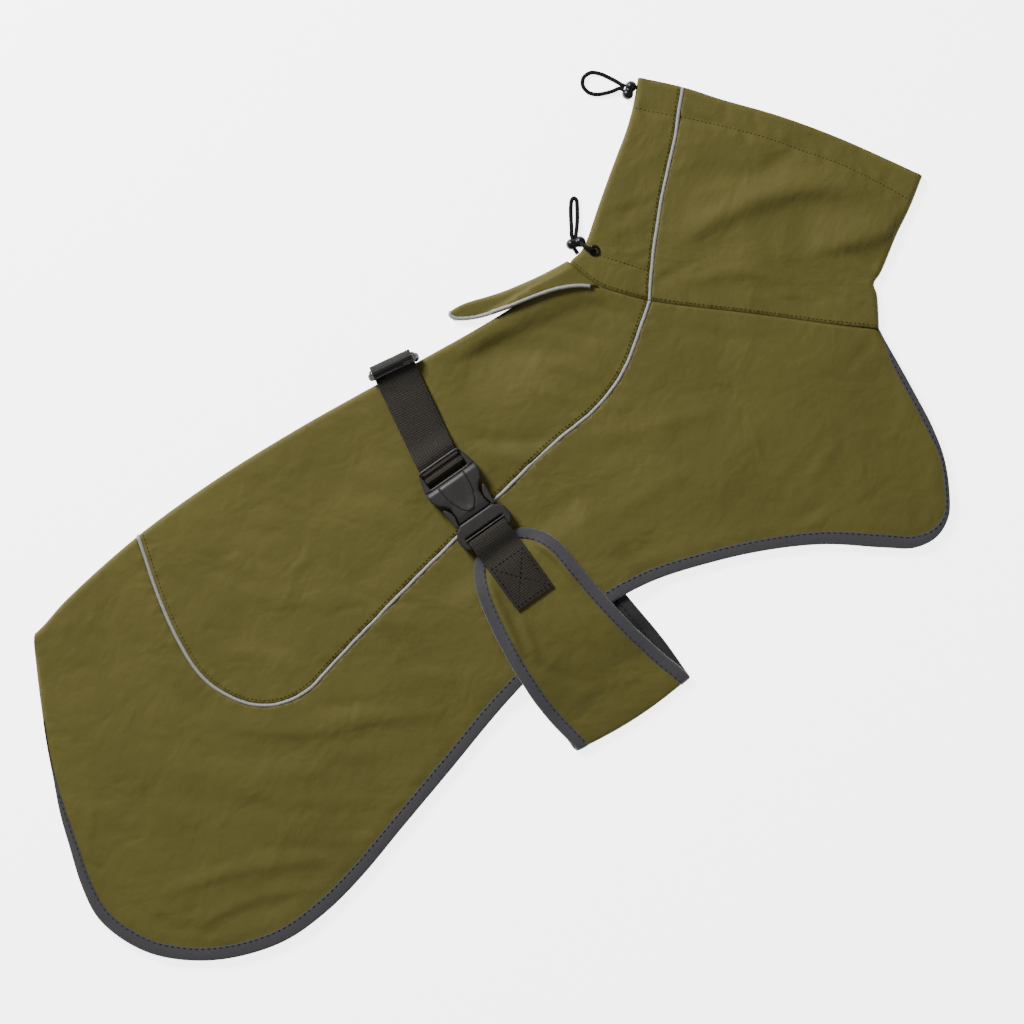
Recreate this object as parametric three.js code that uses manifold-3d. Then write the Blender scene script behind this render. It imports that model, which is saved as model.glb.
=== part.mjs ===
// Dog winter coat, closed and laid flat on its side, folded in half along the back.
// Units are millimetres, +Z is up. While it is being built, +X runs along the back from tail to neck,
// +Y points from the belly to the back, and the far half of the coat lies on the plane Z = 0.
// The near half lies on the far one, and both are one wall where the cloth turns over at a fold.

import * as THREE from 'three';
import { mergeVertices } from 'three/addons/utils/BufferGeometryUtils.js';
import Module from 'manifold-3d';

const wasm = await Module();
wasm.setup();

// ---------------------------------------------------------------- driving dimensions

const CLOTH = 2.2; // shell, wadding and lining, stitched through
const GAP = 0.3; // clearance between neighbouring pieces
const HALF_GAP = GAP / 2;
const FOLD_RADIUS = 3.85; // outside of the turned cloth at a fold
const REST_HEIGHT = 3.3; // underside of the near half where it lies closest to the far half
const LOFT = 1.2; // mean height by which the near half stands clear of that
const FOLD_EASE = 30; // distance over which the turned cloth settles down

const BINDING_WIDTH = 11;
const BINDING_SWELL = 0.8; // a binding is this much thicker than the cloth it covers
const PIPING_WIDTH = 4;
const PIPING_SWELL = 1;

const WEBBING_WIDTH = 37.4; // nominal 38
const WEBBING = 1.5; // thickness of the webbing
const STRAP_RUN = 85; // length of the strap's sewn run on the far side
const CORD_DIAMETER = 3;
const BUTTON_RADIUS = 4.6; // each ball of a cord lock

const FLAP_CLOTH = 1.8;
const BAND_FOLD_RADIUS = 3.3;

const PRISM_FLOOR = -5;
const PRISM_HEIGHT = 60;

// ---------------------------------------------------------------- tables of the coat's lines

// The back line: where the body folds, from the tail to the neck.
const backTable = [
  { x: -120, y: 1.5 },
  { x: 0, y: 1.5 },
  { x: 40, y: 10 },
  { x: 120, y: 19.5 },
  { x: 200, y: 21 },
  { x: 290, y: 16 },
  { x: 400, y: 4.5 },
  { x: 480, y: -3 },
  { x: 560, y: -6 },
  { x: 770, y: -6 },
];

// The hem, from the tail end of the back line round to the throat.
// bound: how much of the binding's width shows on the near side, where the edge curls under.
const hemTable = [
  { x: 1, y: 2, bound: 0 },
  { x: -4, y: -5, bound: 0 },
  { x: -14, y: -22, bound: 0 },
  { x: -29, y: -50, bound: 0 },
  { x: -46, y: -84, bound: 0.8 },
  { x: -58, y: -111, bound: 2.5 },
  { x: -70, y: -138, bound: 6 },
  { x: -80, y: -167, bound: 8 },
  { x: -90, y: -198, bound: 9.5 },
  { x: -94.5, y: -228, bound: 10.8 },
  { x: -88, y: -256, bound: 11.6 },
  { x: -73, y: -283, bound: 12 },
  { x: -45, y: -309, bound: 12 },
  { x: -12, y: -327, bound: 12 },
  { x: 28, y: -338, bound: 12 },
  { x: 70, y: -337.5, bound: 12 },
  { x: 112, y: -330, bound: 11.8 },
  { x: 163, y: -316, bound: 11.5 },
  { x: 226, y: -299, bound: 11.5 },
  { x: 285, y: -282.5, bound: 11.5 },
  { x: 330, y: -272, bound: 11 },
  { x: 377, y: -263, bound: 11 },
  { x: 420, y: -260.5, bound: 11 },
  { x: 460, y: -265.5, bound: 10.8 },
  { x: 506, y: -279.5, bound: 10.4 },
  { x: 555, y: -299.5, bound: 10.6 },
  { x: 600, y: -324.5, bound: 11.5 },
  { x: 640, y: -356, bound: 12 },
  { x: 662, y: -371.5, bound: 11 },
  { x: 683, y: -374.5, bound: 8.5 },
  { x: 701, y: -366, bound: 5 },
  { x: 715, y: -347, bound: 4.5 },
  { x: 727, y: -322, bound: 4.2 },
  { x: 734, y: -294, bound: 6 },
  { x: 738, y: -262, bound: 6 },
  { x: 741, y: -234, bound: 5.8 },
  { x: 743, y: -212, bound: 2 },
  { x: 744.5, y: -200, bound: 0.8 },
  { x: 745, y: -192, bound: 0.8 },
];
const HEM_STEPS = 76;
const NEAR_BINDING_START = 5; // row of the hem table where the near binding comes out from under the edge

// The seam between saddle and flank, from the back line over the rump and forward to the neck.
const saddleSeamTable = [
  { x: 127, y: 40 },
  { x: 122, y: 20 },
  { x: 106, y: -35 },
  { x: 98.5, y: -75 },
  { x: 97, y: -107 },
  { x: 103, y: -130 },
  { x: 117, y: -153 },
  { x: 138, y: -168 },
  { x: 165, y: -172.5 },
  { x: 203, y: -165 },
  { x: 280, y: -150 },
  { x: 370, y: -134.5 },
  { x: 453, y: -121 },
  { x: 512, y: -115 },
  { x: 547, y: -102 },
  { x: 575, y: -83 },
  { x: 596, y: -68 },
  { x: 610, y: -56 },
];
const SEAM_STEPS = 42;

// The neck seam, from above the back line to past the throat.
const neckTable = [
  { x: 556, y: 30 },
  { x: 559, y: 1 },
  { x: 568, y: -31 },
  { x: 580, y: -48 },
  { x: 597, y: -67.5 },
  { x: 629, y: -97 },
  { x: 655, y: -120 },
  { x: 681, y: -143.5 },
  { x: 713, y: -173 },
  { x: 744.5, y: -200 },
  { x: 775, y: -227 },
];
const NECK_STEPS = 20;

// The collar: a flattened tube. Each row is one rung from its nape edge to its throat edge.
const collarTable = [
  { napeX: 540, napeY: -22, throatX: 731, throatY: -222 },
  { napeX: 560, napeY: -1, throatX: 744, throatY: -201 },
  { napeX: 572, napeY: 1, throatX: 753, throatY: -187 },
  { napeX: 582, napeY: 6, throatX: 760.5, throatY: -174 },
  { napeX: 597, napeY: 17, throatX: 763, throatY: -166 },
  { napeX: 612, napeY: 28, throatX: 774, throatY: -161 },
  { napeX: 642, napeY: 49, throatX: 804, throatY: -142 },
  { napeX: 664, napeY: 64, throatX: 824, throatY: -131 },
  { napeX: 681, napeY: 78, throatX: 838, throatY: -122 },
  { napeX: 698, napeY: 95, throatX: 850, throatY: -114 },
  { napeX: 709, napeY: 107, throatX: 862, throatY: -107 },
];
const COLLAR_RUNGS = 12;

// The collar's top edge, from past the nape to past the throat.
const collarTopTable = [
  { x: 684, y: 108 },
  { x: 699, y: 95 },
  { x: 727, y: 65 },
  { x: 746, y: 40 },
  { x: 780, y: -2 },
  { x: 811, y: -47 },
  { x: 850, y: -113 },
  { x: 862, y: -135 },
];

// The collar's seam, from past the neck to past the top edge.
const collarSeamTable = [
  { x: 583, y: -86 },
  { x: 597, y: -67 },
  { x: 619, y: -40 },
  { x: 658, y: 1 },
  { x: 694, y: 34 },
  { x: 715, y: 56 },
  { x: 735, y: 77 },
];

// The lead slot's flap: its own fold and its free edge, from the tip to the neck.
const flapTable = [
  { x: 447, fold: 21.8, edge: 18.6 },
  { x: 451, fold: 22.4, edge: 16.4 },
  { x: 457, fold: 22.4, edge: 11.9 },
  { x: 465, fold: 21.5, edge: 7.2 },
  { x: 474, fold: 19.1, edge: 3.2 },
  { x: 486, fold: 14.9, edge: -0.8 },
  { x: 498, fold: 11.2, edge: -4 },
  { x: 512, fold: 7.6, edge: -6.9 },
  { x: 525, fold: 4.7, edge: -9.7 },
  { x: 538, fold: 2.4, edge: -13.4 },
  { x: 549, fold: 0.9, edge: -18.2 },
  { x: 558, fold: -0.2, edge: -24 },
  { x: 568, fold: -1.2, edge: -33.5 },
];
const FLAP_TIP_RADIUS = 2.7;
const FLAP_NECK_RADIUS = 6.3;
const FLAP_OPENS = { from: 455, to: 540 }; // where the fold grows from one radius to the other
const FLAP_SETTLES = { from: -9, to: 1 }; // distance inside the back line where it comes to rest on the coat
const FLAP_SAG = 0.4; // dip of the flap past its fold
const FLAP_SAG_RUN = 12;
const FLAP_REACHES = [0, 3, 6, 10, 15, 21, 28, 36]; // distances past the fold's roll
const FLAP_STEPS = 15;
const FLAP_TIP = 449.5;
const FLAP_PIPING_WIDTH = 3.6;
const FLAP_PIPING_SWELL = 0.6;

// The belly band's near half, from its top end down to its fold, and its far half going back up.
const bandNearTable = [
  { y: -159, left: 353, right: 387 },
  { y: -166, left: 344, right: 399 },
  { y: -178, left: 336, right: 409.5 },
  { y: -194, left: 330, right: 415.5 },
  { y: -217, left: 325, right: 417.5 },
  { y: -245, left: 321, right: 420 },
  { y: -262, left: 319.5, right: 422 },
  { y: -276, left: 319, right: 424 },
  { y: -289, left: 318.5, right: 426 },
  { y: -303, left: 319, right: 429 },
  { y: -320, left: 320.5, right: 433 },
  { y: -336, left: 323, right: 438 },
];
const BAND_FOLD_Y = -346.5; // the middle of the turned cloth
const bandFarTable = [
  { y: -336, left: 323, right: 440.5 },
  { y: -318, left: 321.5, right: 440.5 },
  { y: -300, left: 321, right: 439.5 },
  { y: -284, left: 320.5, right: 438 },
  { y: -262, left: 321.5, right: 436 },
  { y: -240, left: 324, right: 434 },
  { y: -200, left: 330, right: 429 },
];

// Broad soft folds of the near half. rise is the height of a ridge, below zero for a trough.
const softFoldTable = [
  { x: 137, y: -200, turn: -33, long: 80, wide: 17, rise: -0.9 },
  { x: 120, y: -222, turn: -30, long: 90, wide: 14, rise: 0.9 },
  { x: 100, y: -240, turn: -36, long: 85, wide: 15, rise: -0.8 },
  { x: 18, y: -294, turn: -12, long: 60, wide: 16, rise: -0.8 },
  { x: 0, y: -120, turn: -62, long: 70, wide: 24, rise: 0.8 },
  { x: 60, y: -90, turn: -50, long: 70, wide: 22, rise: -0.5 },
  { x: 210, y: -60, turn: 12, long: 80, wide: 26, rise: 0.6 },
  { x: 290, y: -110, turn: 6, long: 70, wide: 18, rise: -0.6 },
  { x: 250, y: -225, turn: -28, long: 70, wide: 18, rise: 0.6 },
  { x: 330, y: -60, turn: 70, long: 45, wide: 14, rise: -0.6 },
  { x: 425, y: -50, turn: 60, long: 50, wide: 15, rise: -0.6 },
  { x: 455, y: -90, turn: 35, long: 60, wide: 18, rise: 0.7 },
  { x: 470, y: -170, turn: 20, long: 70, wide: 20, rise: -0.6 },
  { x: 540, y: -205, turn: -14, long: 90, wide: 22, rise: 0.7 },
  { x: 600, y: -160, turn: -40, long: 70, wide: 20, rise: -0.6 },
  { x: 640, y: -270, turn: -35, long: 70, wide: 24, rise: 0.7 },
  { x: 690, y: -230, turn: -70, long: 50, wide: 18, rise: -0.5 },
  { x: 690, y: -85, turn: 52, long: 70, wide: 15, rise: 0.9 },
  { x: 735, y: -100, turn: 60, long: 60, wide: 13, rise: -0.9 },
  { x: 790, y: -95, turn: 66, long: 50, wide: 14, rise: 0.8 },
  { x: 735, y: -155, turn: -20, long: 34, wide: 9, rise: -1.0 },
  { x: 650, y: 20, turn: 45, long: 50, wide: 16, rise: 0.4 },
];

// ---------------------------------------------------------------- small helpers

const radians = THREE.MathUtils.degToRad;
const mix = THREE.MathUtils.lerp;
const smoothstep = THREE.MathUtils.smoothstep;
const point = (x, y, z) => new THREE.Vector3(x, y, z);

// A smooth line through a table's rows, as points in plan.
function smoothLine(table, steps) {
  const rows = table.map((row) => point(row.x, row.y, 0));
  const curve = new THREE.CatmullRomCurve3(rows, false, 'centripetal');
  return curve.getPoints(steps).map((p) => new THREE.Vector2(p.x, p.y));
}

// A table's column, smoothed along the same rows and steps.
function smoothColumn(table, column, steps) {
  const rows = table.map((row, index) => point(index, row[column], 0));
  const curve = new THREE.CatmullRomCurve3(rows, false, 'catmullrom', 0.5);
  return curve.getPoints(steps).map((p) => p.y);
}

// The line moved to its left by a distance, or by one distance for each point.
function moveLeft(line, distance) {
  return line.map((p, index) => {
    const before = line[Math.max(index - 1, 0)];
    const after = line[Math.min(index + 1, line.length - 1)];
    const along = after.clone().sub(before).normalize();
    const reach = Array.isArray(distance) ? distance[index] : distance;
    return new THREE.Vector2(p.x - along.y * reach, p.y + along.x * reach);
  });
}

// A value read off a table by its x column, on a smooth line.
function reader(table, column) {
  const line = smoothLine(table.map((row) => ({ x: row.x, y: row[column] })), table.length * 12);
  return (x) => {
    const last = line.length - 1;
    const next = line.findIndex((p) => p.x >= x);
    if (next === -1) {
      return line[last].y;
    }
    if (next === 0) {
      return line[0].y;
    }
    const share = (x - line[next - 1].x) / (line[next].x - line[next - 1].x);
    return mix(line[next - 1].y, line[next].y, share);
  };
}

function toManifold(geometry) {
  const bare = geometry.index ? geometry.toNonIndexed() : geometry.clone();
  bare.deleteAttribute('normal');
  bare.deleteAttribute('uv');
  const merged = mergeVertices(bare, 1e-4);
  const vertProperties = new Float32Array(merged.attributes.position.array);
  const triVerts = new Uint32Array(merged.index.array);
  return new wasm.Manifold(new wasm.Mesh({ numProp: 3, vertProperties, triVerts }));
}

function toGeometry(solid) {
  const mesh = solid.getMesh();
  const geometry = new THREE.BufferGeometry();
  geometry.setAttribute('position', new THREE.BufferAttribute(mesh.vertProperties, 3));
  geometry.setIndex(new THREE.BufferAttribute(mesh.triVerts, 1));
  geometry.computeVertexNormals();
  return geometry;
}

// The largest piece of a cut solid, without the crumbs of a grazing cut.
function mainPiece(solid) {
  const pieces = solid.decompose();
  return pieces.reduce((best, piece) => (piece.volume() > best.volume() ? piece : best));
}

// An upright prism over an outline in plan, as a cutting tool.
function prism(outline, floor = PRISM_FLOOR, height = PRISM_HEIGHT) {
  const shape = new THREE.Shape(outline);
  const geometry = new THREE.ExtrudeGeometry(shape, { depth: height, bevelEnabled: false });
  geometry.translate(0, 0, floor);
  return toManifold(geometry);
}

// A closed wall from sections: each has as many outer points as inner ones, in order.
function wall(sections, closed = false) {
  const rows = sections.length;
  const columns = sections[0].outer.length;
  const positions = [];
  for (const face of ['outer', 'inner']) {
    for (const section of sections) {
      for (const p of section[face]) {
        positions.push(p.x, p.y, p.z);
      }
    }
  }
  const outer = (row, column) => row * columns + (column % columns);
  const inner = (row, column) => rows * columns + outer(row, column);
  const triangles = [];
  const quad = (a, b, c, d) => triangles.push(a, b, c, a, c, d);
  const spans = closed ? columns : columns - 1;
  for (let row = 0; row < rows - 1; row += 1) {
    for (let column = 0; column < spans; column += 1) {
      quad(outer(row, column), outer(row + 1, column), outer(row + 1, column + 1), outer(row, column + 1));
      quad(inner(row, column), inner(row, column + 1), inner(row + 1, column + 1), inner(row + 1, column));
    }
    if (!closed) {
      quad(outer(row, 0), inner(row, 0), inner(row + 1, 0), outer(row + 1, 0));
      const end = columns - 1;
      quad(outer(row, end), outer(row + 1, end), inner(row + 1, end), inner(row, end));
    }
  }
  for (let column = 0; column < spans; column += 1) {
    const last = rows - 1;
    quad(outer(0, column), outer(0, column + 1), inner(0, column + 1), inner(0, column));
    quad(outer(last, column), inner(last, column), inner(last, column + 1), outer(last, column + 1));
  }
  const geometry = new THREE.BufferGeometry();
  geometry.setAttribute('position', new THREE.Float32BufferAttribute(positions, 3));
  geometry.setIndex(triangles);
  const solid = toManifold(geometry);
  if (solid.volume() > 0) {
    return solid;
  }
  geometry.setIndex(triangles.slice().reverse());
  return toManifold(geometry);
}

// ---------------------------------------------------------------- heights of the layers

const backLine = reader(backTable, 'y');

// Share of 1 inside a rectangle in plan, turned by an angle, easing to 0 over a margin.
function plateau(x, y, place) {
  const c = Math.cos(radians(place.turn));
  const s = Math.sin(radians(place.turn));
  const along = Math.abs((x - place.x) * c + (y - place.y) * s);
  const across = Math.abs((y - place.y) * c - (x - place.x) * s);
  const ease = (reach, half) => 1 - smoothstep(reach, half, half + place.margin);
  return ease(along, place.halfLong) * ease(across, place.halfWide);
}

const STRAP_TURN = -9.8; // the strap's lean from square to the back line
const strapPlace = { x: 376.5, y: -32, turn: 90 + STRAP_TURN, halfLong: 62, halfWide: 31, margin: 28 };
const flapPlace = { x: 545, y: -10, turn: -4, halfLong: 42, halfWide: 31, margin: 26 };
const bandPlace = { x: 378, y: -245, turn: 90, halfLong: 52, halfWide: 63, margin: 26 };

// How far all layers are lifted by what lies under them.
function lift(x, y) {
  const overStrap = (WEBBING + GAP) * plateau(x, y, strapPlace);
  const overFlap = (FLAP_CLOTH + GAP) * plateau(x, y, flapPlace);
  return overStrap + overFlap;
}

function softFolds(x, y) {
  let sum = 0;
  for (const fold of softFoldTable) {
    const c = Math.cos(radians(fold.turn));
    const s = Math.sin(radians(fold.turn));
    const along = ((x - fold.x) * c + (y - fold.y) * s) / fold.long;
    const across = ((y - fold.y) * c - (x - fold.x) * s) / fold.wide;
    sum += fold.rise * Math.exp(-along * along - across * across);
  }
  return sum;
}

const BAND_LIFT = BINDING_SWELL + CLOTH + GAP; // the hidden half of the belly band lies between the layers

// Top of the near half at a distance from the nearest fold.
function nearTop(x, y, reach) {
  const settled = 1 - Math.exp(-(((reach - FOLD_RADIUS) / FOLD_EASE) ** 2));
  const lying = REST_HEIGHT + CLOTH + LOFT + softFolds(x, y) + BAND_LIFT * plateau(x, y, bandPlace);
  return lift(x, y) + mix(2 * FOLD_RADIUS, lying, settled);
}

const bodyTop = (x, y) => nearTop(x, y, Math.max(backLine(x) - y, FOLD_RADIUS));

// ---------------------------------------------------------------- folded cloth

const ROLL_ANGLES = [60, 30, 0, -30, -60];
const SEAM_ANGLE = 2.4; // leaves the clearance of a seam in the middle of the fold

// One section of cloth that turns over at a fold.
// side: near, far or both. swell thickens the wall towards the open side.
function foldSection({ edge, inward, reaches, top, radius, thick, side, swell, lifted }) {
  const outer = [];
  const inner = [];
  const place = (reach) => edge.clone().addScaledVector(inward, reach);
  const ground = (p) => (lifted ? lift(p.x, p.y) : 0);
  const add = (list, reach, z) => {
    const p = place(reach);
    list.push(point(p.x, p.y, z));
  };
  const atFold = place(radius);
  const centre = ground(atFold) + radius;
  const roll = (degrees) => {
    const c = Math.cos(radians(degrees));
    const s = Math.sin(radians(degrees));
    const proud = radius + (swell * (1 + s)) / 2;
    add(outer, radius - proud * c, centre + proud * s);
    add(inner, radius - (radius - thick) * c, centre + (radius - thick) * s);
  };
  if (side !== 'far') {
    for (const reach of reaches.slice().reverse()) {
      const p = place(reach);
      const z = top(p.x, p.y, reach);
      add(outer, reach, z + swell);
      add(inner, reach, z - thick);
    }
  }
  const angles = ROLL_ANGLES.filter((a) => side === 'both' || (side === 'near' ? a > 0 : a < 0));
  if (side === 'far') {
    roll(-SEAM_ANGLE);
  }
  angles.forEach(roll);
  if (side === 'near') {
    roll(SEAM_ANGLE);
  }
  if (side !== 'near') {
    for (const reach of reaches) {
      const p = place(reach);
      add(outer, reach, ground(p));
      add(inner, reach, ground(p) + thick + (side === 'far' ? swell : 0));
    }
  }
  return { outer, inner };
}

const BODY_START = -104;
const BODY_END = 758;
const BODY_SECTIONS = 30;
const BODY_REACH = 406;
const BODY_REACH_STEP = 34;

function bodyReaches() {
  const reaches = [FOLD_RADIUS, 14, 30, 52];
  for (let reach = 80; reach < BODY_REACH + BODY_REACH_STEP; reach += BODY_REACH_STEP) {
    reaches.push(reach);
  }
  return reaches;
}

function bodyWall(side, swell = 0) {
  const sections = [];
  for (let index = 0; index <= BODY_SECTIONS; index += 1) {
    const x = mix(BODY_START, BODY_END, index / BODY_SECTIONS);
    sections.push(foldSection({
      edge: new THREE.Vector2(x, backLine(x)),
      inward: new THREE.Vector2(0, -1),
      reaches: bodyReaches(),
      top: nearTop,
      radius: FOLD_RADIUS,
      thick: CLOTH,
      side,
      swell,
      lifted: true,
    }));
  }
  return wall(sections);
}

// ---------------------------------------------------------------- outlines in plan

const hemLine = smoothLine(hemTable, HEM_STEPS);
const hemBound = smoothColumn(hemTable, 'bound', HEM_STEPS);
const saddleSeam = smoothLine(saddleSeamTable, SEAM_STEPS);
const neckLine = smoothLine(neckTable, NECK_STEPS);
const collarSeam = smoothLine(collarSeamTable, 12);
const collarTop = smoothLine(collarTopTable, 14);

const OUTSIDE = 60; // well past every edge
const corner = (x, y) => new THREE.Vector2(x, y);

// All of the body inside the hem and below the neck seam.
function bodyPrism() {
  const within = prism([...hemLine, corner(1100, -192), corner(1100, OUTSIDE), corner(1, OUTSIDE)]);
  const belowNeck = prism([
    ...moveLeft(neckLine, -HALF_GAP),
    corner(775, -500),
    corner(-200, -500),
    corner(-200, 90),
    corner(556, 90),
  ]);
  return within.intersect(belowNeck);
}

// The side of the saddle's seam that holds the saddle, from a line moved off the seam.
function saddleSide(distance) {
  return prism([...moveLeft(saddleSeam, distance), corner(700, 20), corner(700, 90), corner(127, 90)]);
}

// A strip along the hem. grow widens it, to cut the panel clear of the binding.
function hemStrip(widths, first, grow) {
  const outside = moveLeft(hemLine, grow > 0 ? -10 : 0).slice(first);
  const inside = moveLeft(hemLine, widths.map((width) => width + grow)).slice(first);
  return prism([...outside, ...inside.reverse()]);
}

const farBound = hemBound.map(() => BINDING_WIDTH);
const stepsPerRow = HEM_STEPS / (hemTable.length - 1);
const nearStart = Math.round(NEAR_BINDING_START * stepsPerRow);
const farStart = Math.round(1.4 * stepsPerRow);
const body = bodyPrism();

const solids = {};
const HALF_PIPING = PIPING_WIDTH / 2;
const PIPING_CLEAR = HALF_PIPING + GAP;

// ---------------------------------------------------------------- body pieces

function makeBody() {
  const both = bodyWall('both').intersect(body);
  solids.saddle = mainPiece(both.intersect(saddleSide(PIPING_CLEAR)));
  const proud = bodyWall('both', PIPING_SWELL).intersect(body);
  const strip = saddleSide(-HALF_PIPING).subtract(saddleSide(HALF_PIPING));
  solids.saddle_piping = mainPiece(proud.intersect(strip));

  const flank = body.subtract(saddleSide(-PIPING_CLEAR));
  const halves = [
    { side: 'near', widths: hemBound, first: nearStart },
    { side: 'far', widths: farBound, first: farStart },
  ];
  for (const { side, widths, first } of halves) {
    const panel = bodyWall(side).intersect(flank).subtract(hemStrip(widths, first, GAP));
    solids[`flank_${side}`] = mainPiece(panel);
    const edge = bodyWall(side, BINDING_SWELL).intersect(body).intersect(hemStrip(widths, first, 0));
    solids[`hem_binding_${side}`] = mainPiece(edge);
  }
}

// ---------------------------------------------------------------- collar

const COLLAR_REACHES = [FOLD_RADIUS, 14, 30, 56, 90];

// A ring of the flattened tube: over the near side, round the throat, back along the far side.
function collarSection(nape, throat, swell) {
  const inward = throat.clone().sub(nape);
  const width = inward.length();
  inward.divideScalar(width);
  const half = (edge, direction) => foldSection({
    edge,
    inward: direction,
    reaches: COLLAR_REACHES,
    top: (x, y, reach) => nearTop(x, y, Math.min(reach, width - reach)),
    radius: FOLD_RADIUS,
    thick: CLOTH,
    side: 'both',
    swell,
    lifted: true,
  });
  const napeHalf = half(nape, inward);
  const throatHalf = half(throat, inward.clone().negate());
  return {
    outer: [...napeHalf.outer, ...throatHalf.outer.reverse()],
    inner: [...napeHalf.inner, ...throatHalf.inner.reverse()],
  };
}

function collarWall(swell = 0) {
  const line = (a, b) => smoothLine(collarTable.map((row) => ({ x: row[a], y: row[b] })), COLLAR_RUNGS);
  const napes = line('napeX', 'napeY');
  const throats = line('throatX', 'throatY');
  return wall(napes.map((nape, index) => collarSection(nape, throats[index], swell)), true);
}

function collarPrism() {
  return prism([
    ...moveLeft(neckLine, HALF_GAP),
    corner(900, -230),
    ...collarTop.slice().reverse(),
    corner(600, 108),
    corner(540, 60),
  ]);
}

// The nape side of the collar's seam.
function napeSide(distance) {
  return prism([...moveLeft(collarSeam, distance), corner(735, 160), corner(500, 160), corner(500, -86)]);
}

function makeCollar() {
  const outline = collarPrism();
  const cloth = collarWall().intersect(outline);
  solids.collar_back = mainPiece(cloth.intersect(napeSide(PIPING_CLEAR)));
  solids.collar_front = mainPiece(cloth.subtract(napeSide(-PIPING_CLEAR)));
  const strip = napeSide(-HALF_PIPING).subtract(napeSide(HALF_PIPING));
  const proud = collarWall(PIPING_SWELL).intersect(outline).intersect(strip);
  const pieces = proud.decompose();
  const height = (piece) => piece.boundingBox().max[2];
  pieces.sort((a, b) => b.volume() - a.volume());
  const [one, other] = pieces;
  solids.collar_piping_near = height(one) > height(other) ? one : other;
  solids.collar_piping_far = height(one) > height(other) ? other : one;
}

// ---------------------------------------------------------------- lead slot flap

function flapWall(swell = 0) {
  const first = flapTable[0].x;
  const last = flapTable[flapTable.length - 1].x;
  const fold = reader(flapTable, 'fold');
  const rested = (x, y) => bodyTop(x, y) + GAP + FLAP_CLOTH;
  const sections = [];
  for (let index = 0; index <= FLAP_STEPS; index += 1) {
    const x = mix(first, last, index / FLAP_STEPS);
    const opened = smoothstep(x, FLAP_OPENS.from, FLAP_OPENS.to);
    const radius = mix(FLAP_TIP_RADIUS, FLAP_NECK_RADIUS, opened);
    const top = (px, py, reach) => {
      const over = smoothstep(backLine(px) - py, FLAP_SETTLES.from, FLAP_SETTLES.to);
      const dip = FLAP_SAG * (1 - Math.exp(-(((reach - radius) / FLAP_SAG_RUN) ** 2)));
      return Math.max(mix(2 * radius - dip, rested(px, py), over), over > 0.3 ? rested(px, py) : 0);
    };
    sections.push(foldSection({
      edge: new THREE.Vector2(x, fold(x)),
      inward: new THREE.Vector2(0, -1),
      reaches: FLAP_REACHES.map((past) => radius + past),
      top,
      radius,
      thick: FLAP_CLOTH,
      side: 'both',
      swell,
      lifted: false,
    }));
  }
  return wall(sections);
}

// The flap in plan, moved in from its free edge: its tip is rounded.
function flapPrism(inset) {
  const edge = smoothLine(flapTable.map((row) => ({ x: row.x, y: row.edge })), 22);
  const tip = FLAP_TIP + inset;
  const inside = moveLeft(edge, inset).filter((p) => p.x > tip + 3);
  const start = inside[0].y;
  return prism([
    ...inside,
    corner(570, 40),
    corner(tip + 5, 40),
    corner(tip + 1.2, 22),
    corner(tip, start + 3.4),
    corner(tip + 0.5, start + 1.6),
    corner(tip + 1.6, start + 0.5),
  ]);
}

function makeFlap() {
  const neckSide = prism([
    ...moveLeft(neckLine, -GAP),
    corner(400, -500),
    corner(400, 90),
    corner(556, 90),
  ]);
  const outline = flapPrism(0).intersect(neckSide);
  solids.lead_flap = mainPiece(flapWall().intersect(flapPrism(FLAP_PIPING_WIDTH + GAP)).intersect(neckSide));
  const proud = flapWall(FLAP_PIPING_SWELL).intersect(outline);
  solids.flap_piping = mainPiece(proud.subtract(flapPrism(FLAP_PIPING_WIDTH)));
}

// ---------------------------------------------------------------- belly band

const BAND_ROLL = [90, 60, 30, 0, -30, -60, -90];

// Distances below the back line, in -y, over which the band changes level.
const BAND_NEAR_DROP = { from: 277, to: 306 }; // off the near half
const BAND_FAR_CLIMB = { from: 232, to: 246 }; // inside the coat, on to the far hem's binding
const BAND_FAR_DROP = { from: 279, to: 300 }; // past the far hem, to the floor

// Height of the band's underside on the near side: on the coat, then down past the hem.
function bandNearFloor(x, y) {
  const onCoat = bodyTop(x, y) + BINDING_SWELL + GAP;
  const atFold = 2 * BAND_FOLD_RADIUS - CLOTH;
  return mix(onCoat, atFold, smoothstep(-y, BAND_NEAR_DROP.from, BAND_NEAR_DROP.to));
}

// Height of the band's underside on the far side: inside the coat, over the far hem, then on the floor.
function bandFarFloor(y) {
  const climbed = smoothstep(-y, BAND_FAR_CLIMB.from, BAND_FAR_CLIMB.to);
  const inside = CLOTH + GAP + BINDING_SWELL * climbed;
  return mix(inside, 0, smoothstep(-y, BAND_FAR_DROP.from, BAND_FAR_DROP.to));
}

// The band's stations: a place in plan on each edge line, and how to find a height there.
function bandStations() {
  const stations = [];
  for (const row of bandNearTable) {
    stations.push({ ...row, floor: (x) => bandNearFloor(x, row.y), over: 1 });
  }
  const nearEnd = bandNearTable[bandNearTable.length - 1];
  const farStartRow = bandFarTable[0];
  for (const degrees of BAND_ROLL) {
    const share = (90 - degrees) / 180;
    stations.push({
      y: BAND_FOLD_Y,
      left: mix(nearEnd.left + 2, farStartRow.left, share),
      right: mix(nearEnd.right + 2.5, farStartRow.right, share),
      degrees,
    });
  }
  for (const row of bandFarTable) {
    stations.push({ ...row, floor: () => bandFarFloor(row.y), over: -1 });
  }
  return stations;
}

const BAND_LEAN = 0.035; // the band's fold runs slightly off square

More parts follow.
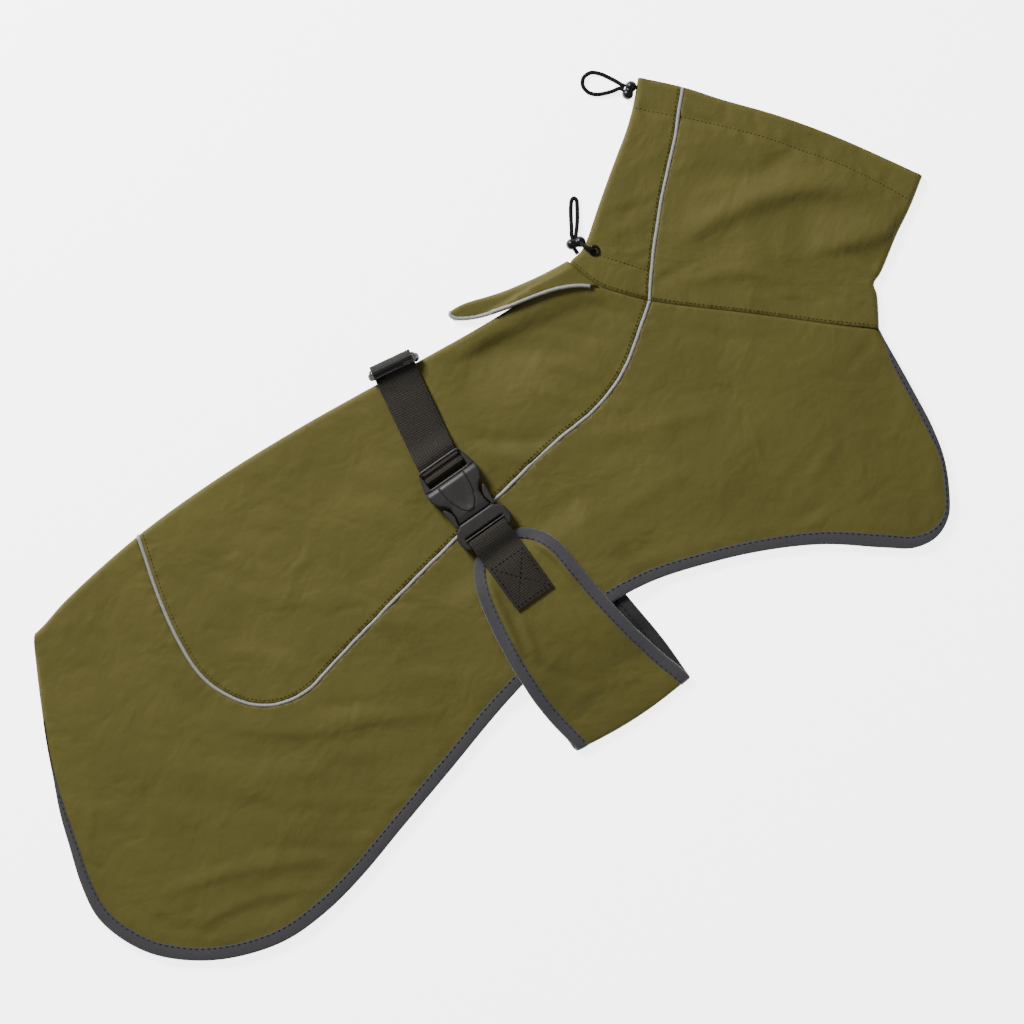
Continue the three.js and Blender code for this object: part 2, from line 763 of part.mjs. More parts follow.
// Two points through the wall of the band at a station.
function bandPair(station, x, swell) {
  const shift = station.y < -300 ? (x - 380) * -BAND_LEAN : 0;
  if (station.degrees === undefined) {
    const bottom = station.floor(x);
    const high = bottom + CLOTH + swell;
    const y = station.y + shift * smoothstep(-station.y, 300, 340);
    const pair = [point(x, y, high), point(x, y, bottom)];
    return station.over > 0 ? pair : pair.reverse();
  }
  const c = Math.cos(radians(station.degrees));
  const s = Math.sin(radians(station.degrees));
  const outside = BAND_FOLD_RADIUS + (swell * (1 + s)) / 2;
  const inside = BAND_FOLD_RADIUS - CLOTH - (swell * (1 - s)) / 2;
  const y = BAND_FOLD_Y + shift;
  const at = (radius) => point(x, y - radius * c, BAND_FOLD_RADIUS + radius * s);
  return [at(outside), at(Math.max(inside, 0.3))];
}

// Plan lines of one edge of the band, moved in from the outer edge.
function bandEdge(stations, column, inset) {
  const line = stations.map((station) => corner(station[column], station.y));
  return line.map((p, index) => {
    const before = line[Math.max(index - 1, 0)];
    const after = line[Math.min(index + 1, line.length - 1)];
    const rise = Math.abs(after.y - before.y);
    const run = Math.abs(after.x - before.x);
    const slope = rise > 0.01 ? Math.min(Math.hypot(run, rise) / rise, 1.5) : 1;
    return p.x + inset * slope * (column === 'left' ? 1 : -1);
  });
}

function bandStrip(from, to, swell, across) {
  const stations = bandStations();
  const a = from(stations);
  const b = to(stations);
  return wall(stations.map((station, index) => {
    const outer = [];
    const inner = [];
    for (let step = 0; step <= across; step += 1) {
      const [high, low] = bandPair(station, mix(a[index], b[index], step / across), swell);
      outer.push(high);
      inner.push(low);
    }
    return { outer, inner };
  }));
}

function makeBand() {
  const edge = (column, inset) => (stations) => bandEdge(stations, column, inset);
  const panelInset = BINDING_WIDTH + GAP;
  solids.belly_band = bandStrip(edge('left', panelInset), edge('right', panelInset), 0, 4);
  solids.band_binding_rear = bandStrip(edge('left', 0), edge('left', BINDING_WIDTH), BINDING_SWELL, 1);
  solids.band_binding_front = bandStrip(edge('right', BINDING_WIDTH), edge('right', 0), BINDING_SWELL, 1);
}

// ---------------------------------------------------------------- straps

// A length of webbing along a table of stations; turn is the direction across it, in degrees.
function webbing(table, width, steps) {
  const centres = table.map((row) => point(row.x, row.y, row.z));
  const path = new THREE.CatmullRomCurve3(centres, false, 'centripetal');
  const turns = smoothColumn(table, 'turn', steps);
  const sections = path.getPoints(steps).map((centre, index) => {
    const along = path.getTangent(index / steps);
    const across = point(Math.cos(radians(turns[index])), Math.sin(radians(turns[index])), 0);
    const normal = across.clone().cross(along).normalize();
    const side = (sign, depth) => centre.clone()
      .addScaledVector(across, (sign * width) / 2)
      .addScaledVector(normal, depth);
    return {
      outer: [side(-1, WEBBING / 2), side(1, WEBBING / 2)],
      inner: [side(-1, -WEBBING / 2), side(1, -WEBBING / 2)],
    };
  });
  return wall(sections);
}

const BUCKLE_X = 369.3;
const BUCKLE_TOP_Y = -75;
const FEMALE_BAR = 10; // distance of the upper webbing bar below the buckle's top edge
const MALE_BAR = 74;
const BAR_HALF = 2.2; // half of the bar's thickness, measured over its corners
const BUCKLE_HEIGHT = 12.5;
const BAR_WIDTH = 2.8;
const BAR_LEVEL = 4.2; // height of the upper bar's middle over the buckle's underside

// The highest point of the near half under a rectangle, with its piping.
function highest(left, right, low, high) {
  let top = 0;
  for (let x = left; x <= right; x += 6) {
    for (let y = low; y <= high; y += 6) {
      top = Math.max(top, bodyTop(x, y));
    }
  }
  return top;
}

const BUCKLE_FLOOR = highest(344, 396, -154, -75) + PIPING_SWELL + GAP;

const STRAP_TOP = { x: 383, y: 6 };
const strapShare = (y) => Math.min((STRAP_TOP.y - y) / (STRAP_TOP.y - BUCKLE_TOP_Y), 1);
const strapX = (y) => mix(STRAP_TOP.x, BUCKLE_X, strapShare(y));
const strapTurn = (y) => mix(STRAP_TURN, 0, smoothstep(-y, 20, 78));
const SLIDER_TILT = 55;
const SLIDER_CENTRE = { y: 14.2, z: 9.9 };
const SLIDER_X = STRAP_TOP.x + 1.4;
const SLIDER = { width: 46, height: 21, thick: 3.2, bar: 3.2, rail: 3.4, side: 3.2 };

function strapRow(y, z) {
  return { x: strapX(y), y, z, turn: strapTurn(y) };
}

// The strap over the back: sewn end under the slider, down to the buckle's bar, round it and up again,
// through the slider, over the fold of the back and under the far half.
function makeBackStrap() {
  const lower = (y) => highest(strapX(y) - 19, strapX(y) + 19, y - 3, y + 3) + GAP + WEBBING / 2;
  const layer = WEBBING + GAP;
  const barY = BUCKLE_TOP_Y - FEMALE_BAR;
  const barZ = BUCKLE_FLOOR + BAR_LEVEL;
  const wrap = BAR_HALF + GAP + WEBBING / 2;
  const rows = [];
  for (const y of [-2, -20, -40, -56]) {
    rows.push(strapRow(y, lower(y)));
  }
  rows.push(strapRow(-70, barZ - wrap + 0.2));
  rows.push(strapRow(barY + 4, barZ - wrap));
  for (const degrees of [-110, -145, 180, 145, 110]) {
    const y = barY + wrap * Math.cos(radians(degrees));
    rows.push({ ...strapRow(barY, barZ + wrap * Math.sin(radians(degrees))), y });
  }
  rows.push(strapRow(barY + 5, barZ + wrap + 0.1));
  rows.push(strapRow(-70, barZ + wrap - 0.5));
  for (const y of [-56, -40, -20, -6]) {
    rows.push(strapRow(y, lower(y) + layer));
  }
  const c = Math.cos(radians(SLIDER_TILT));
  const s = Math.sin(radians(SLIDER_TILT));
  // A place near the slider: up its face by reach, and off its face by depth.
  const nearSlider = (reach, depth) => {
    const y = SLIDER_CENTRE.y - reach * c + depth * s;
    const z = SLIDER_CENTRE.z + reach * s + depth * c;
    return { x: SLIDER_X + (y - SLIDER_CENTRE.y) * 0.17, y, z, turn: STRAP_TURN };
  };
  const over = SLIDER.thick / 2 + GAP + WEBBING / 2;
  rows.push(nearSlider(5.2, -1.2));
  rows.push(nearSlider(2.4, over - 0.2));
  rows.push(nearSlider(-1.6, over));
  rows.push(nearSlider(-5, 0.4));
  rows.push({ x: SLIDER_X - 0.2, y: SLIDER_CENTRE.y - 1.5, z: 1.7, turn: STRAP_TURN });
  for (const y of [6, -10, -40, -STRAP_RUN + 6]) {
    const ground = WEBBING / 2 + (y > 0 ? 0.2 : 0.02);
    rows.push({ x: STRAP_TOP.x + (y - STRAP_TOP.y) * 0.17, y, z: ground, turn: STRAP_TURN });
  }
  solids.back_strap = webbing(rows, WEBBING_WIDTH, 64);
}

// The buckle strap: sewn end on the band, up to the buckle's bar, round it and down again on top.
function makeBuckleStrap() {
  const barY = BUCKLE_TOP_Y - MALE_BAR;
  const onBand = (y) => highest(352, 390, y - 3, y + 3) + BINDING_SWELL * 2 + CLOTH + 2 * GAP + WEBBING / 2;
  const layer = WEBBING + GAP;
  const wrap = BAR_HALF + GAP + WEBBING / 2;
  const barZ = Math.max(BUCKLE_FLOOR + BAR_LEVEL, onBand(barY - 12) + wrap);
  const rows = [];
  const row = (y, z) => rows.push({ x: mix(BUCKLE_X, 370.6, (barY - y) / 70), y, z, turn: 0.4 });
  for (const y of [-216, -200, -184, -170]) {
    row(y, onBand(y));
  }
  row(barY - 6, barZ - wrap);
  for (const degrees of [-70, -35, 0, 35, 70]) {
    row(barY + wrap * Math.cos(radians(degrees)), barZ + wrap * Math.sin(radians(degrees)));
  }
  row(barY - 7, barZ + wrap - 0.4);
  for (const y of [-170, -184, -200, -219.5]) {
    row(y, onBand(y) + layer);
  }
  solids.buckle_strap = webbing(rows, WEBBING_WIDTH, 44);
  return barZ;
}

// ---------------------------------------------------------------- hard parts

// A plate from an outline, with slots, standing from floor to floor + height.
function plate(outline, slots, floor, height) {
  const shape = new THREE.Shape(outline);
  slots.forEach((slot) => shape.holes.push(new THREE.Path(slot)));
  const geometry = new THREE.ExtrudeGeometry(shape, { depth: height, bevelEnabled: false });
  geometry.translate(0, 0, floor);
  return geometry;
}

const rectangle = (x, y, halfWide, halfHigh) => [
  corner(x - halfWide, y - halfHigh),
  corner(x + halfWide, y - halfHigh),
  corner(x + halfWide, y + halfHigh),
  corner(x - halfWide, y + halfHigh),
];

// Half widths of the buckle along its length, from the top edge down.
const femaleTable = [
  { down: 0, half: 17.5 },
  { down: 1.2, half: 20 },
  { down: 8, half: 22.6 },
  { down: 19.5, half: 25.4 },
  { down: 28, half: 24.8 },
  { down: 33, half: 22.2 },
  { down: 36.5, half: 18 },
  { down: 41, half: 14.8 },
  { down: 50, half: 14.5 },
  { down: 56.5, half: 16 },
];
const maleTable = [
  { down: 57, half: 16.5 },
  { down: 60.5, half: 21.5 },
  { down: 65, half: 25 },
  { down: 72, half: 25.4 },
  { down: 77, half: 23.6 },
  { down: 79.5, half: 20.5 },
];
const prongTable = [
  { x: 19.6, down: 58 },
  { x: 20.2, down: 52 },
  { x: 21, down: 46 },
  { x: 21.6, down: 39.8 },
  { x: 20.2, down: 38.4 },
  { x: 18.2, down: 40.4 },
  { x: 16, down: 44.5 },
  { x: 15.3, down: 49 },
  { x: 16.6, down: 54 },
  { x: 17.2, down: 58 },
];
const MALE_HEIGHT = 10.5;
const SLOT_HALF = WEBBING_WIDTH / 2 + 0.4;
const RAIL_CLEARANCE = 8.7; // the strap passes below the frame's top rail

const bothSides = (table) => [
  ...table.map((row) => corner(row.half, -row.down)),
  ...table.slice().reverse().map((row) => corner(-row.half, -row.down)),
];

function block(width, deep, high, y, z) {
  const geometry = new THREE.BoxGeometry(width, deep, high);
  geometry.translate(0, y, z);
  return toManifold(geometry);
}

const bar = (width, thick, y, z) => block(width, thick, thick, y, z);

function placeBuckle(solid) {
  const geometry = toGeometry(solid);
  geometry.translate(BUCKLE_X, BUCKLE_TOP_Y, 0);
  return toManifold(geometry);
}

function makeBuckle(maleBarZ) {
  const slot = { down: FEMALE_BAR, halfWide: SLOT_HALF, halfHigh: 7.4 };
  const frame = plate(bothSides(femaleTable), [rectangle(0, -slot.down, slot.halfWide, slot.halfHigh)],
    BUCKLE_FLOOR, BUCKLE_HEIGHT);
  const femaleBar = bar(2 * slot.halfWide + 1, BAR_WIDTH, -FEMALE_BAR, BUCKLE_FLOOR + BAR_LEVEL);
  const mouth = block(2 * slot.halfWide, 8, 10, -2, BUCKLE_FLOOR + RAIL_CLEARANCE - 5);
  solids.buckle_female = placeBuckle(toManifold(frame).subtract(mouth).add(femaleBar));

  const floor = BUCKLE_FLOOR + 1;
  const male = plate(bothSides(maleTable), [], floor, MALE_HEIGHT);
  const maleBar = bar(2 * SLOT_HALF + 1, BAR_WIDTH, -MALE_BAR, maleBarZ);
  const mouthTall = 3 * MALE_HEIGHT;
  const open = block(2 * SLOT_HALF, 13, mouthTall, -MALE_BAR - 2, floor);
  let solid = toManifold(male).subtract(open).add(maleBar);
  for (const sign of [1, -1]) {
    const outline = prongTable.map((row) => corner(sign * row.x, -row.down));
    solid = solid.add(toManifold(plate(outline, [], floor + 1.5, MALE_HEIGHT - 3)));
  }
  solids.buckle_male = placeBuckle(solid);
}

function makeSlider() {
  const half = { wide: SLIDER.width / 2, high: SLIDER.height / 2 };
  const cut = 2.4; // corners are cut back by this much
  const outline = [
    corner(-half.wide + cut, -half.high),
    corner(half.wide - cut, -half.high),
    corner(half.wide, -half.high + cut),
    corner(half.wide, half.high - cut),
    corner(half.wide - cut, half.high),
    corner(-half.wide + cut, half.high),
    corner(-half.wide, half.high - cut),
    corner(-half.wide, -half.high + cut),
  ];
  const slotHigh = (SLIDER.height - SLIDER.bar - 2 * SLIDER.rail) / 4;
  const slotAt = SLIDER.bar / 2 + slotHigh;
  const slots = [1, -1].map((sign) => rectangle(0, sign * slotAt, half.wide - SLIDER.side, slotHigh));
  const geometry = plate(outline, slots, -SLIDER.thick / 2, SLIDER.thick);
  geometry.rotateX(radians(180 - SLIDER_TILT));
  geometry.rotateZ(radians(STRAP_TURN));
  geometry.translate(SLIDER_X, SLIDER_CENTRE.y, SLIDER_CENTRE.z);
  solids.slider = toManifold(geometry);
}

const EYELET = { x: 582.5, y: -5, inner: 2.6, outer: 4.9, high: 1 };
const eyeletTop = () => nearTop(EYELET.x, EYELET.y, 11);

function makeEyelet() {
  const floor = eyeletTop() + GAP;
  const profile = [
    new THREE.Vector2(EYELET.inner, 0),
    new THREE.Vector2(EYELET.outer, 0),
    new THREE.Vector2(EYELET.outer, EYELET.high * 0.5),
    new THREE.Vector2((EYELET.outer + EYELET.inner) / 2, EYELET.high),
    new THREE.Vector2(EYELET.inner, EYELET.high * 0.6),
    new THREE.Vector2(EYELET.inner, 0),
  ];
  const geometry = new THREE.LatheGeometry(profile, 16);
  geometry.rotateX(Math.PI / 2);
  geometry.translate(EYELET.x, EYELET.y, floor);
  solids.eyelet = toManifold(geometry);
}

// ---------------------------------------------------------------- drawcords and cord locks

const CORD_SIDES = 8;
const CORD_LEVEL = CORD_DIAMETER / 2 + 0.1;

// Each route's points: x, y and the height of the cord's middle.
const topLoop = [
  [682.5, 94.1, 4.65], [680.6, 97, 4], [674.6, 98.6, 2.4], [667.5, 101.2, CORD_LEVEL],
  [661.2, 104.6, CORD_LEVEL], [656.6, 110.4, CORD_LEVEL], [656.4, 117.6, CORD_LEVEL],
  [661, 122.6, CORD_LEVEL], [668.4, 122.4, CORD_LEVEL], [674.6, 116.6, CORD_LEVEL],
  [679, 109.2, 1.9], [682, 103, 3.2], [683.8, 98.6, 4.3], [685.3, 95.8, 4.65],
];
const neckLoop = [
  [573.6, 15.05, 4.65], [574.6, 17.6, 4.4], [577.9, 22.4, 3.3], [581.5, 28.2, 2.1],
  [585.4, 34.1, CORD_LEVEL], [588.9, 38.9, CORD_LEVEL], [592, 42.1, CORD_LEVEL],
  [594.8, 42.5, CORD_LEVEL], [595.4, 39.8, CORD_LEVEL], [593.2, 35.8, CORD_LEVEL],
  [590, 30.9, 1.7], [585.9, 25.1, 2.5], [581.4, 19.6, 3.6], [578, 15.9, 4.4], [576.6, 13.9, 4.65],
];
const neckLead = [
  [577.1, 6.35, 8.85], [577, 5.2, 10.9], [577.6, 2.4, 12.9], [579.4, -1, 13.6],
  [581.3, -3.6, 12.9], [582.5, -5, 10.7],
];
const neckTail = [
  [569.9, 6.3, 4.4], [569.8, 4.4, 3.9], [569.6, 1.1, 3.6],
];

function cordTube(route, steps) {
  const path = new THREE.CatmullRomCurve3(route.map((p) => point(...p)), false, 'centripetal');
  const circle = [];
  for (let side = 0; side < CORD_SIDES; side += 1) {
    const angle = ((side + 0.5) / CORD_SIDES) * 2 * Math.PI;
    circle.push(corner(Math.cos(angle) * (CORD_DIAMETER / 2), Math.sin(angle) * (CORD_DIAMETER / 2)));
  }
  const shape = new THREE.Shape(circle);
  return toManifold(new THREE.ExtrudeGeometry(shape, { extrudePath: path, steps, bevelEnabled: false }));
}

// Each cord lock: its body and its button, seen in plan, touching the floor.
const locks = {
  cord_lock_top: [{ x: 689.4, y: 92.7 }, { x: 683.4, y: 89 }],
  cord_lock_neck: [{ x: 570, y: 11 }, { x: 577.2, y: 8.6 }],
};

function makeLock(name) {
  let solid = null;
  for (const ball of locks[name]) {
    const geometry = new THREE.SphereGeometry(BUTTON_RADIUS, 12, 7);
    geometry.rotateX(Math.PI / 2);
    geometry.translate(ball.x, ball.y, BUTTON_RADIUS + 0.05);
    const next = toManifold(geometry);
    solid = solid ? solid.add(next) : next;
  }
  solids[name] = solid;
}

function makeCords() {
  solids.cord_top = cordTube(topLoop, 22);
  solids.cord_neck = cordTube(neckLoop, 22);
  solids.cord_neck_lead = cordTube(neckLead, 8);
  solids.cord_neck_tail = cordTube(neckTail, 3);
  Object.keys(locks).forEach(makeLock);
}

// ---------------------------------------------------------------- assembly

const finishes = {
  shell: { color: 0x6a6230, roughness: 0.72, metalness: 0 },
  piping: { color: 0xa3a3a3, roughness: 0.4, metalness: 0 },
  binding: { color: 0x474647, roughness: 0.85, metalness: 0 },
  webbing: { color: 0x3b3934, roughness: 0.9, metalness: 0 },
  buckle: { color: 0x484544, roughness: 0.45, metalness: 0 },
  cord_lock: { color: 0x1c1c1c, roughness: 0.3, metalness: 0 },
  cord: { color: 0x1d1a19, roughness: 0.7, metalness: 0 },
};
const finishOf = {
  saddle: 'shell',
  flank_near: 'shell',
  flank_far: 'shell',
  collar_back: 'shell',
  collar_front: 'shell',
  lead_flap: 'shell',
  belly_band: 'shell',
  saddle_piping: 'piping',
  collar_piping_near: 'piping',
  collar_piping_far: 'piping',
  flap_piping: 'piping',
  hem_binding_near: 'binding',
  hem_binding_far: 'binding',
  band_binding_rear: 'binding',
  band_binding_front: 'binding',
  back_strap: 'webbing',
  buckle_strap: 'webbing',
  buckle_female: 'buckle',
  buckle_male: 'buckle',
  slider: 'buckle',
  eyelet: 'cord_lock',
  cord_lock_top: 'cord_lock',
  cord_lock_neck: 'cord_lock',
  cord_top: 'cord',
  cord_neck: 'cord',
  cord_neck_lead: 'cord',
  cord_neck_tail: 'cord',
};

makeBody();
makeCollar();
makeFlap();
makeBand();
makeBackStrap();
makeBuckle(makeBuckleStrap());
makeSlider();
makeEyelet();
makeCords();

const coat = new THREE.Group();
const bounds = new THREE.Box3();
for (const [name, finish] of Object.entries(finishOf)) {
  const material = new THREE.MeshStandardMaterial(finishes[finish]);
  const mesh = new THREE.Mesh(toGeometry(solids[name]), material);
  mesh.name = name;
  coat.add(mesh);
  if (!name.startsWith('cord')) {
    bounds.expandByObject(mesh);
  }
}

// The origin is the middle of the coat's outline, on the surface that it lies on.
const middle = bounds.getCenter(new THREE.Vector3());
coat.position.set(-middle.x, -middle.y, 0);

export default coat;
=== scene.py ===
import math

import bmesh
import bpy
import numpy as np
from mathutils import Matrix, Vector
from mathutils.geometry import delaunay_2d_cdt


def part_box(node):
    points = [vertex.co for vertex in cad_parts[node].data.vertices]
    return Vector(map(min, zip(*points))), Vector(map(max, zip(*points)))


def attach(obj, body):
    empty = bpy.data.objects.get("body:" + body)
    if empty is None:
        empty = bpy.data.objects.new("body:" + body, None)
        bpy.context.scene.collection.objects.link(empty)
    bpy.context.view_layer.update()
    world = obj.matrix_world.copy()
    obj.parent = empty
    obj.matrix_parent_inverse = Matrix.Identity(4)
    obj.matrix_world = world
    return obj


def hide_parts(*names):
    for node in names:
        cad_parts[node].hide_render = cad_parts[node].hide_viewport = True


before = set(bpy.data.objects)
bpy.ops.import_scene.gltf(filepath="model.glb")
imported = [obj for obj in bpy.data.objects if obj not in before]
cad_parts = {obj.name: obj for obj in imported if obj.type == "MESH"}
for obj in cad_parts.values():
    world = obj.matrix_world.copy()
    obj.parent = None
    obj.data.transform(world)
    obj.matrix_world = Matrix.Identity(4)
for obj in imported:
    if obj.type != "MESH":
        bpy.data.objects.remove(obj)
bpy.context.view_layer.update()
MM = 0.001

# ---------------------------------------------------------------- sizes

CLOTH = 2.2  # shell, wadding and lining, stitched through
GAP = 0.3  # clearance between neighbouring pieces
HALF_GAP = 0.02  # half of the hairline that stays open at the neck seam
FOLD_RADIUS = 3.85  # outside of the turned cloth at a fold
REST_HEIGHT = 3.3  # underside of the near half where it lies closest to the far half
LOFT = 1.2  # mean height by which the near half stands clear of that
FOLD_EASE = 30  # distance over which the turned cloth settles down
NEAR_STEP, FAR_STEP = 2.6, 9.0  # between a sheet's points, on its near and on its far side
CHAIN_STEP = NEAR_STEP * 0.8  # between the points of a sheet's edge

BINDING_WIDTH = 11
BINDING_SWELL = 0.8  # a binding is this much thicker than the cloth it covers
IN_BINDING = 3.5  # cloth runs on inside its binding
PIPING_RADIUS = 1.65
PIPING_SWELL = 1  # a piping's crown above the cloth
PIPING_SINK = PIPING_RADIUS - PIPING_SWELL + 0.1  # a piping's middle below the cloth's outer face
SEAM_CLEAR = 1.1  # cloth runs on under the piping
STITCH_RISE = 0.18  # a thread's middle above the cloth

WEBBING_WIDTH = 37.4  # nominal 38
WEBBING = 1.5  # thickness of the webbing
STRAP_RUN = 85  # length of the strap's sewn run on the far side
CORD_DIAMETER = 3.6  # a 3 mm cord, drawn thicker so that it holds its own against the bright floor
EYELET = (582.5, -5.0)

FLAP_CLOTH = 1.8
FLAP_TIP = 448.2  # x of the flap's free tip
FLAP_TIP_RADIUS, FLAP_NECK_RADIUS = 2.7, 6.3  # outside of the flap's own fold, at both its ends
FLAP_STAND = 2.4  # how far the flap's free edge stands off the saddle
FLAP_PIPING_RADIUS = 1.7
FLAP_INSET = 2.4  # the flap's cloth ends this far inside its piped edge

BAND_FOLD_RADIUS = 3.3
BAND_FOLD_Y = -346.5  # where the band turns over at its lowest
BAND_LEAN = 0.035  # slope of that fold in plan
BAND_BULGE = 4.2  # how far the fold's middle bulges past its ends

# ---------------------------------------------------------------- tables of the coat's lines

# The back line, where the body folds, from the tail to the neck: x, y.
BACK = np.array([
    (-120, 1.5), (0, 1.5), (40, 10), (120, 19.5), (200, 21), (290, 16), (400, 4.5), (480, -3),
    (560, -6), (770, -6),
])
# The hem, from the tail round to the throat: x, y, and how much of its binding shows on top.
HEM = np.array([
    (1, 2, 0), (-4, -5, 0), (-14, -22, 0), (-29, -50, 0), (-46, -84, 0.8), (-58, -111, 2.5),
    (-70, -138, 6), (-80, -167, 8), (-90, -198, 9.5), (-94.5, -228, 10.8), (-88, -256, 11.6),
    (-73, -283, 12), (-45, -309, 12), (-12, -327, 12), (28, -338, 12), (70, -337.5, 12),
    (112, -330, 11.8), (163, -316, 11.5), (226, -299, 11.5), (285, -282.5, 11.5), (330, -272, 11),
    (377, -263, 11), (420, -260.5, 11), (460, -265.5, 10.8), (506, -279.5, 10.4), (555, -299.5, 10.6),
    (600, -324.5, 11.5), (640, -356, 12), (662, -371.5, 11), (683, -374.5, 8.5), (701, -366, 5),
    (715, -347, 4.5), (727, -322, 4.2), (734, -294, 6), (738, -262, 6), (741, -234, 5.8),
    (743, -212, 2), (744.5, -200, 0.8), (745, -192, 0.8),
])
# The saddle's piped seam, round its tail end and forward to the neck: x, y.
SADDLE_SEAM = np.array([
    (127, 40), (122, 20), (106, -35), (98.5, -75), (97, -107), (103, -130), (117, -153), (138, -168),
    (165, -172.5), (203, -165), (280, -150), (370, -134.5), (453, -121), (512, -115), (547, -102),
    (575, -83), (596, -68), (610, -56),
])
# The neck seam, from beyond the nape to beyond the throat: x, y.
NECK = np.array([
    (556, 30), (559, 1), (568, -31), (580, -48), (597, -67.5), (629, -97), (655, -120), (681, -143.5),
    (713, -173), (744.5, -200), (775, -227),
])
# Rungs over the collar from the neck up: x, y at the nape and x, y at the throat.
COLLAR = np.array([
    (540, -22, 731, -222), (560, -1, 744, -201), (572, 1, 753, -187), (582, 6, 760.5, -174),
    (597, 17, 763, -166), (612, 28, 774, -161), (642, 49, 804, -142), (664, 64, 824, -131),
    (681, 78, 838, -122), (698, 95, 850, -114), (709, 107, 862, -107),
])
# The collar's top edge, from the nape to the throat: x, y.
COLLAR_TOP = np.array([
    (684, 108), (699, 95), (727, 65), (746, 40), (780, -2), (811, -47), (850, -113), (862, -135),
])
# The collar's piped seam, from the neck up: x, y.
COLLAR_SEAM = np.array([
    (583, -86), (597, -67), (619, -40), (658, 1), (694, 34), (715, 56), (735, 77),
])
# The flap, from its tip to the neck: x, y of its fold, y of its free edge.
FLAP = np.array([
    (447, 22.9, 17.4), (451, 23.7, 15.0), (457, 23.7, 10.6), (465, 22.5, 6.2), (474, 19.8, 2.5),
    (486, 15.6, -1.2), (498, 11.9, -4.5), (512, 8.6, -7.7), (525, 5.9, -11.1), (538, 3.8, -15.4),
    (549, 2.4, -20.6), (558, 1.4, -26.4), (568, 0.2, -35.5),
])
# The belly band on top, from its end down to its fold: y, x of its rear and of its front edge.
BAND_NEAR = np.array([
    (-159, 353, 387), (-166, 344, 399), (-178, 336, 409.5), (-194, 330, 415.5), (-217, 325, 417.5),
    (-245, 321, 420), (-262, 319.5, 422), (-276, 319, 424), (-289, 318.5, 426), (-303, 319, 429),
    (-320, 320.5, 433), (-336, 323, 438),
])
# The belly band underneath, from its fold back up: y, x of its rear and of its front edge.
BAND_FAR = np.array([
    (-336, 323, 440.5), (-318, 321.5, 440.5), (-300, 321, 439.5), (-284, 320.5, 438),
    (-262, 321.5, 436), (-240, 324, 434), (-200, 330, 429),
])
# Large soft folds of the near half: x, y, turn in degrees, half length, half width, rise.
SOFT_FOLDS = np.array([
    (137, -200, -33, 80, 17, -0.9), (120, -222, -30, 90, 14, 0.9), (100, -240, -36, 85, 15, -0.8),
    (18, -294, -12, 60, 16, -0.8), (0, -120, -62, 70, 24, 0.8), (60, -90, -50, 70, 22, -0.5),
    (210, -60, 12, 80, 26, 0.6), (290, -110, 6, 70, 18, -0.6), (250, -225, -28, 70, 18, 0.6),
    (330, -60, 70, 45, 14, -0.6), (425, -50, 60, 50, 15, -0.6), (455, -90, 35, 60, 18, 0.7),
    (470, -170, 20, 70, 20, -0.6), (540, -205, -14, 90, 22, 0.7), (600, -160, -40, 70, 20, -0.6),
    (640, -270, -35, 70, 24, 0.7), (690, -230, -70, 50, 18, -0.5), (690, -85, 52, 70, 15, 0.9),
    (735, -100, 60, 60, 13, -0.9), (790, -95, 66, 50, 14, 0.8), (735, -155, -20, 34, 9, -1.0),
    (650, 20, 45, 50, 16, 0.4),
])
# Outline of the buckle's female half: distance down from its top, half width.
FEMALE = np.array([
    (0, 17.5), (1.2, 20), (8, 22.6), (19.5, 25.4), (28, 24.8), (33, 22.2), (36.5, 18), (41, 14.8),
    (50, 14.5), (56.5, 16),
])
# Outline of its male half, from the same top: distance down, half width.
MALE = np.array([
    (57, 16.5), (60.5, 21.5), (65, 25), (72, 25.4), (77, 23.6), (79.5, 20.5),
])
# Outline of one of its prongs: x from the middle, distance down.
PRONG = np.array([
    (19.6, 58), (20.2, 52), (21, 46), (21.6, 39.8), (20.2, 38.4), (18.2, 40.4), (16, 44.5), (15.3, 49),
    (16.6, 54), (17.2, 58),
])

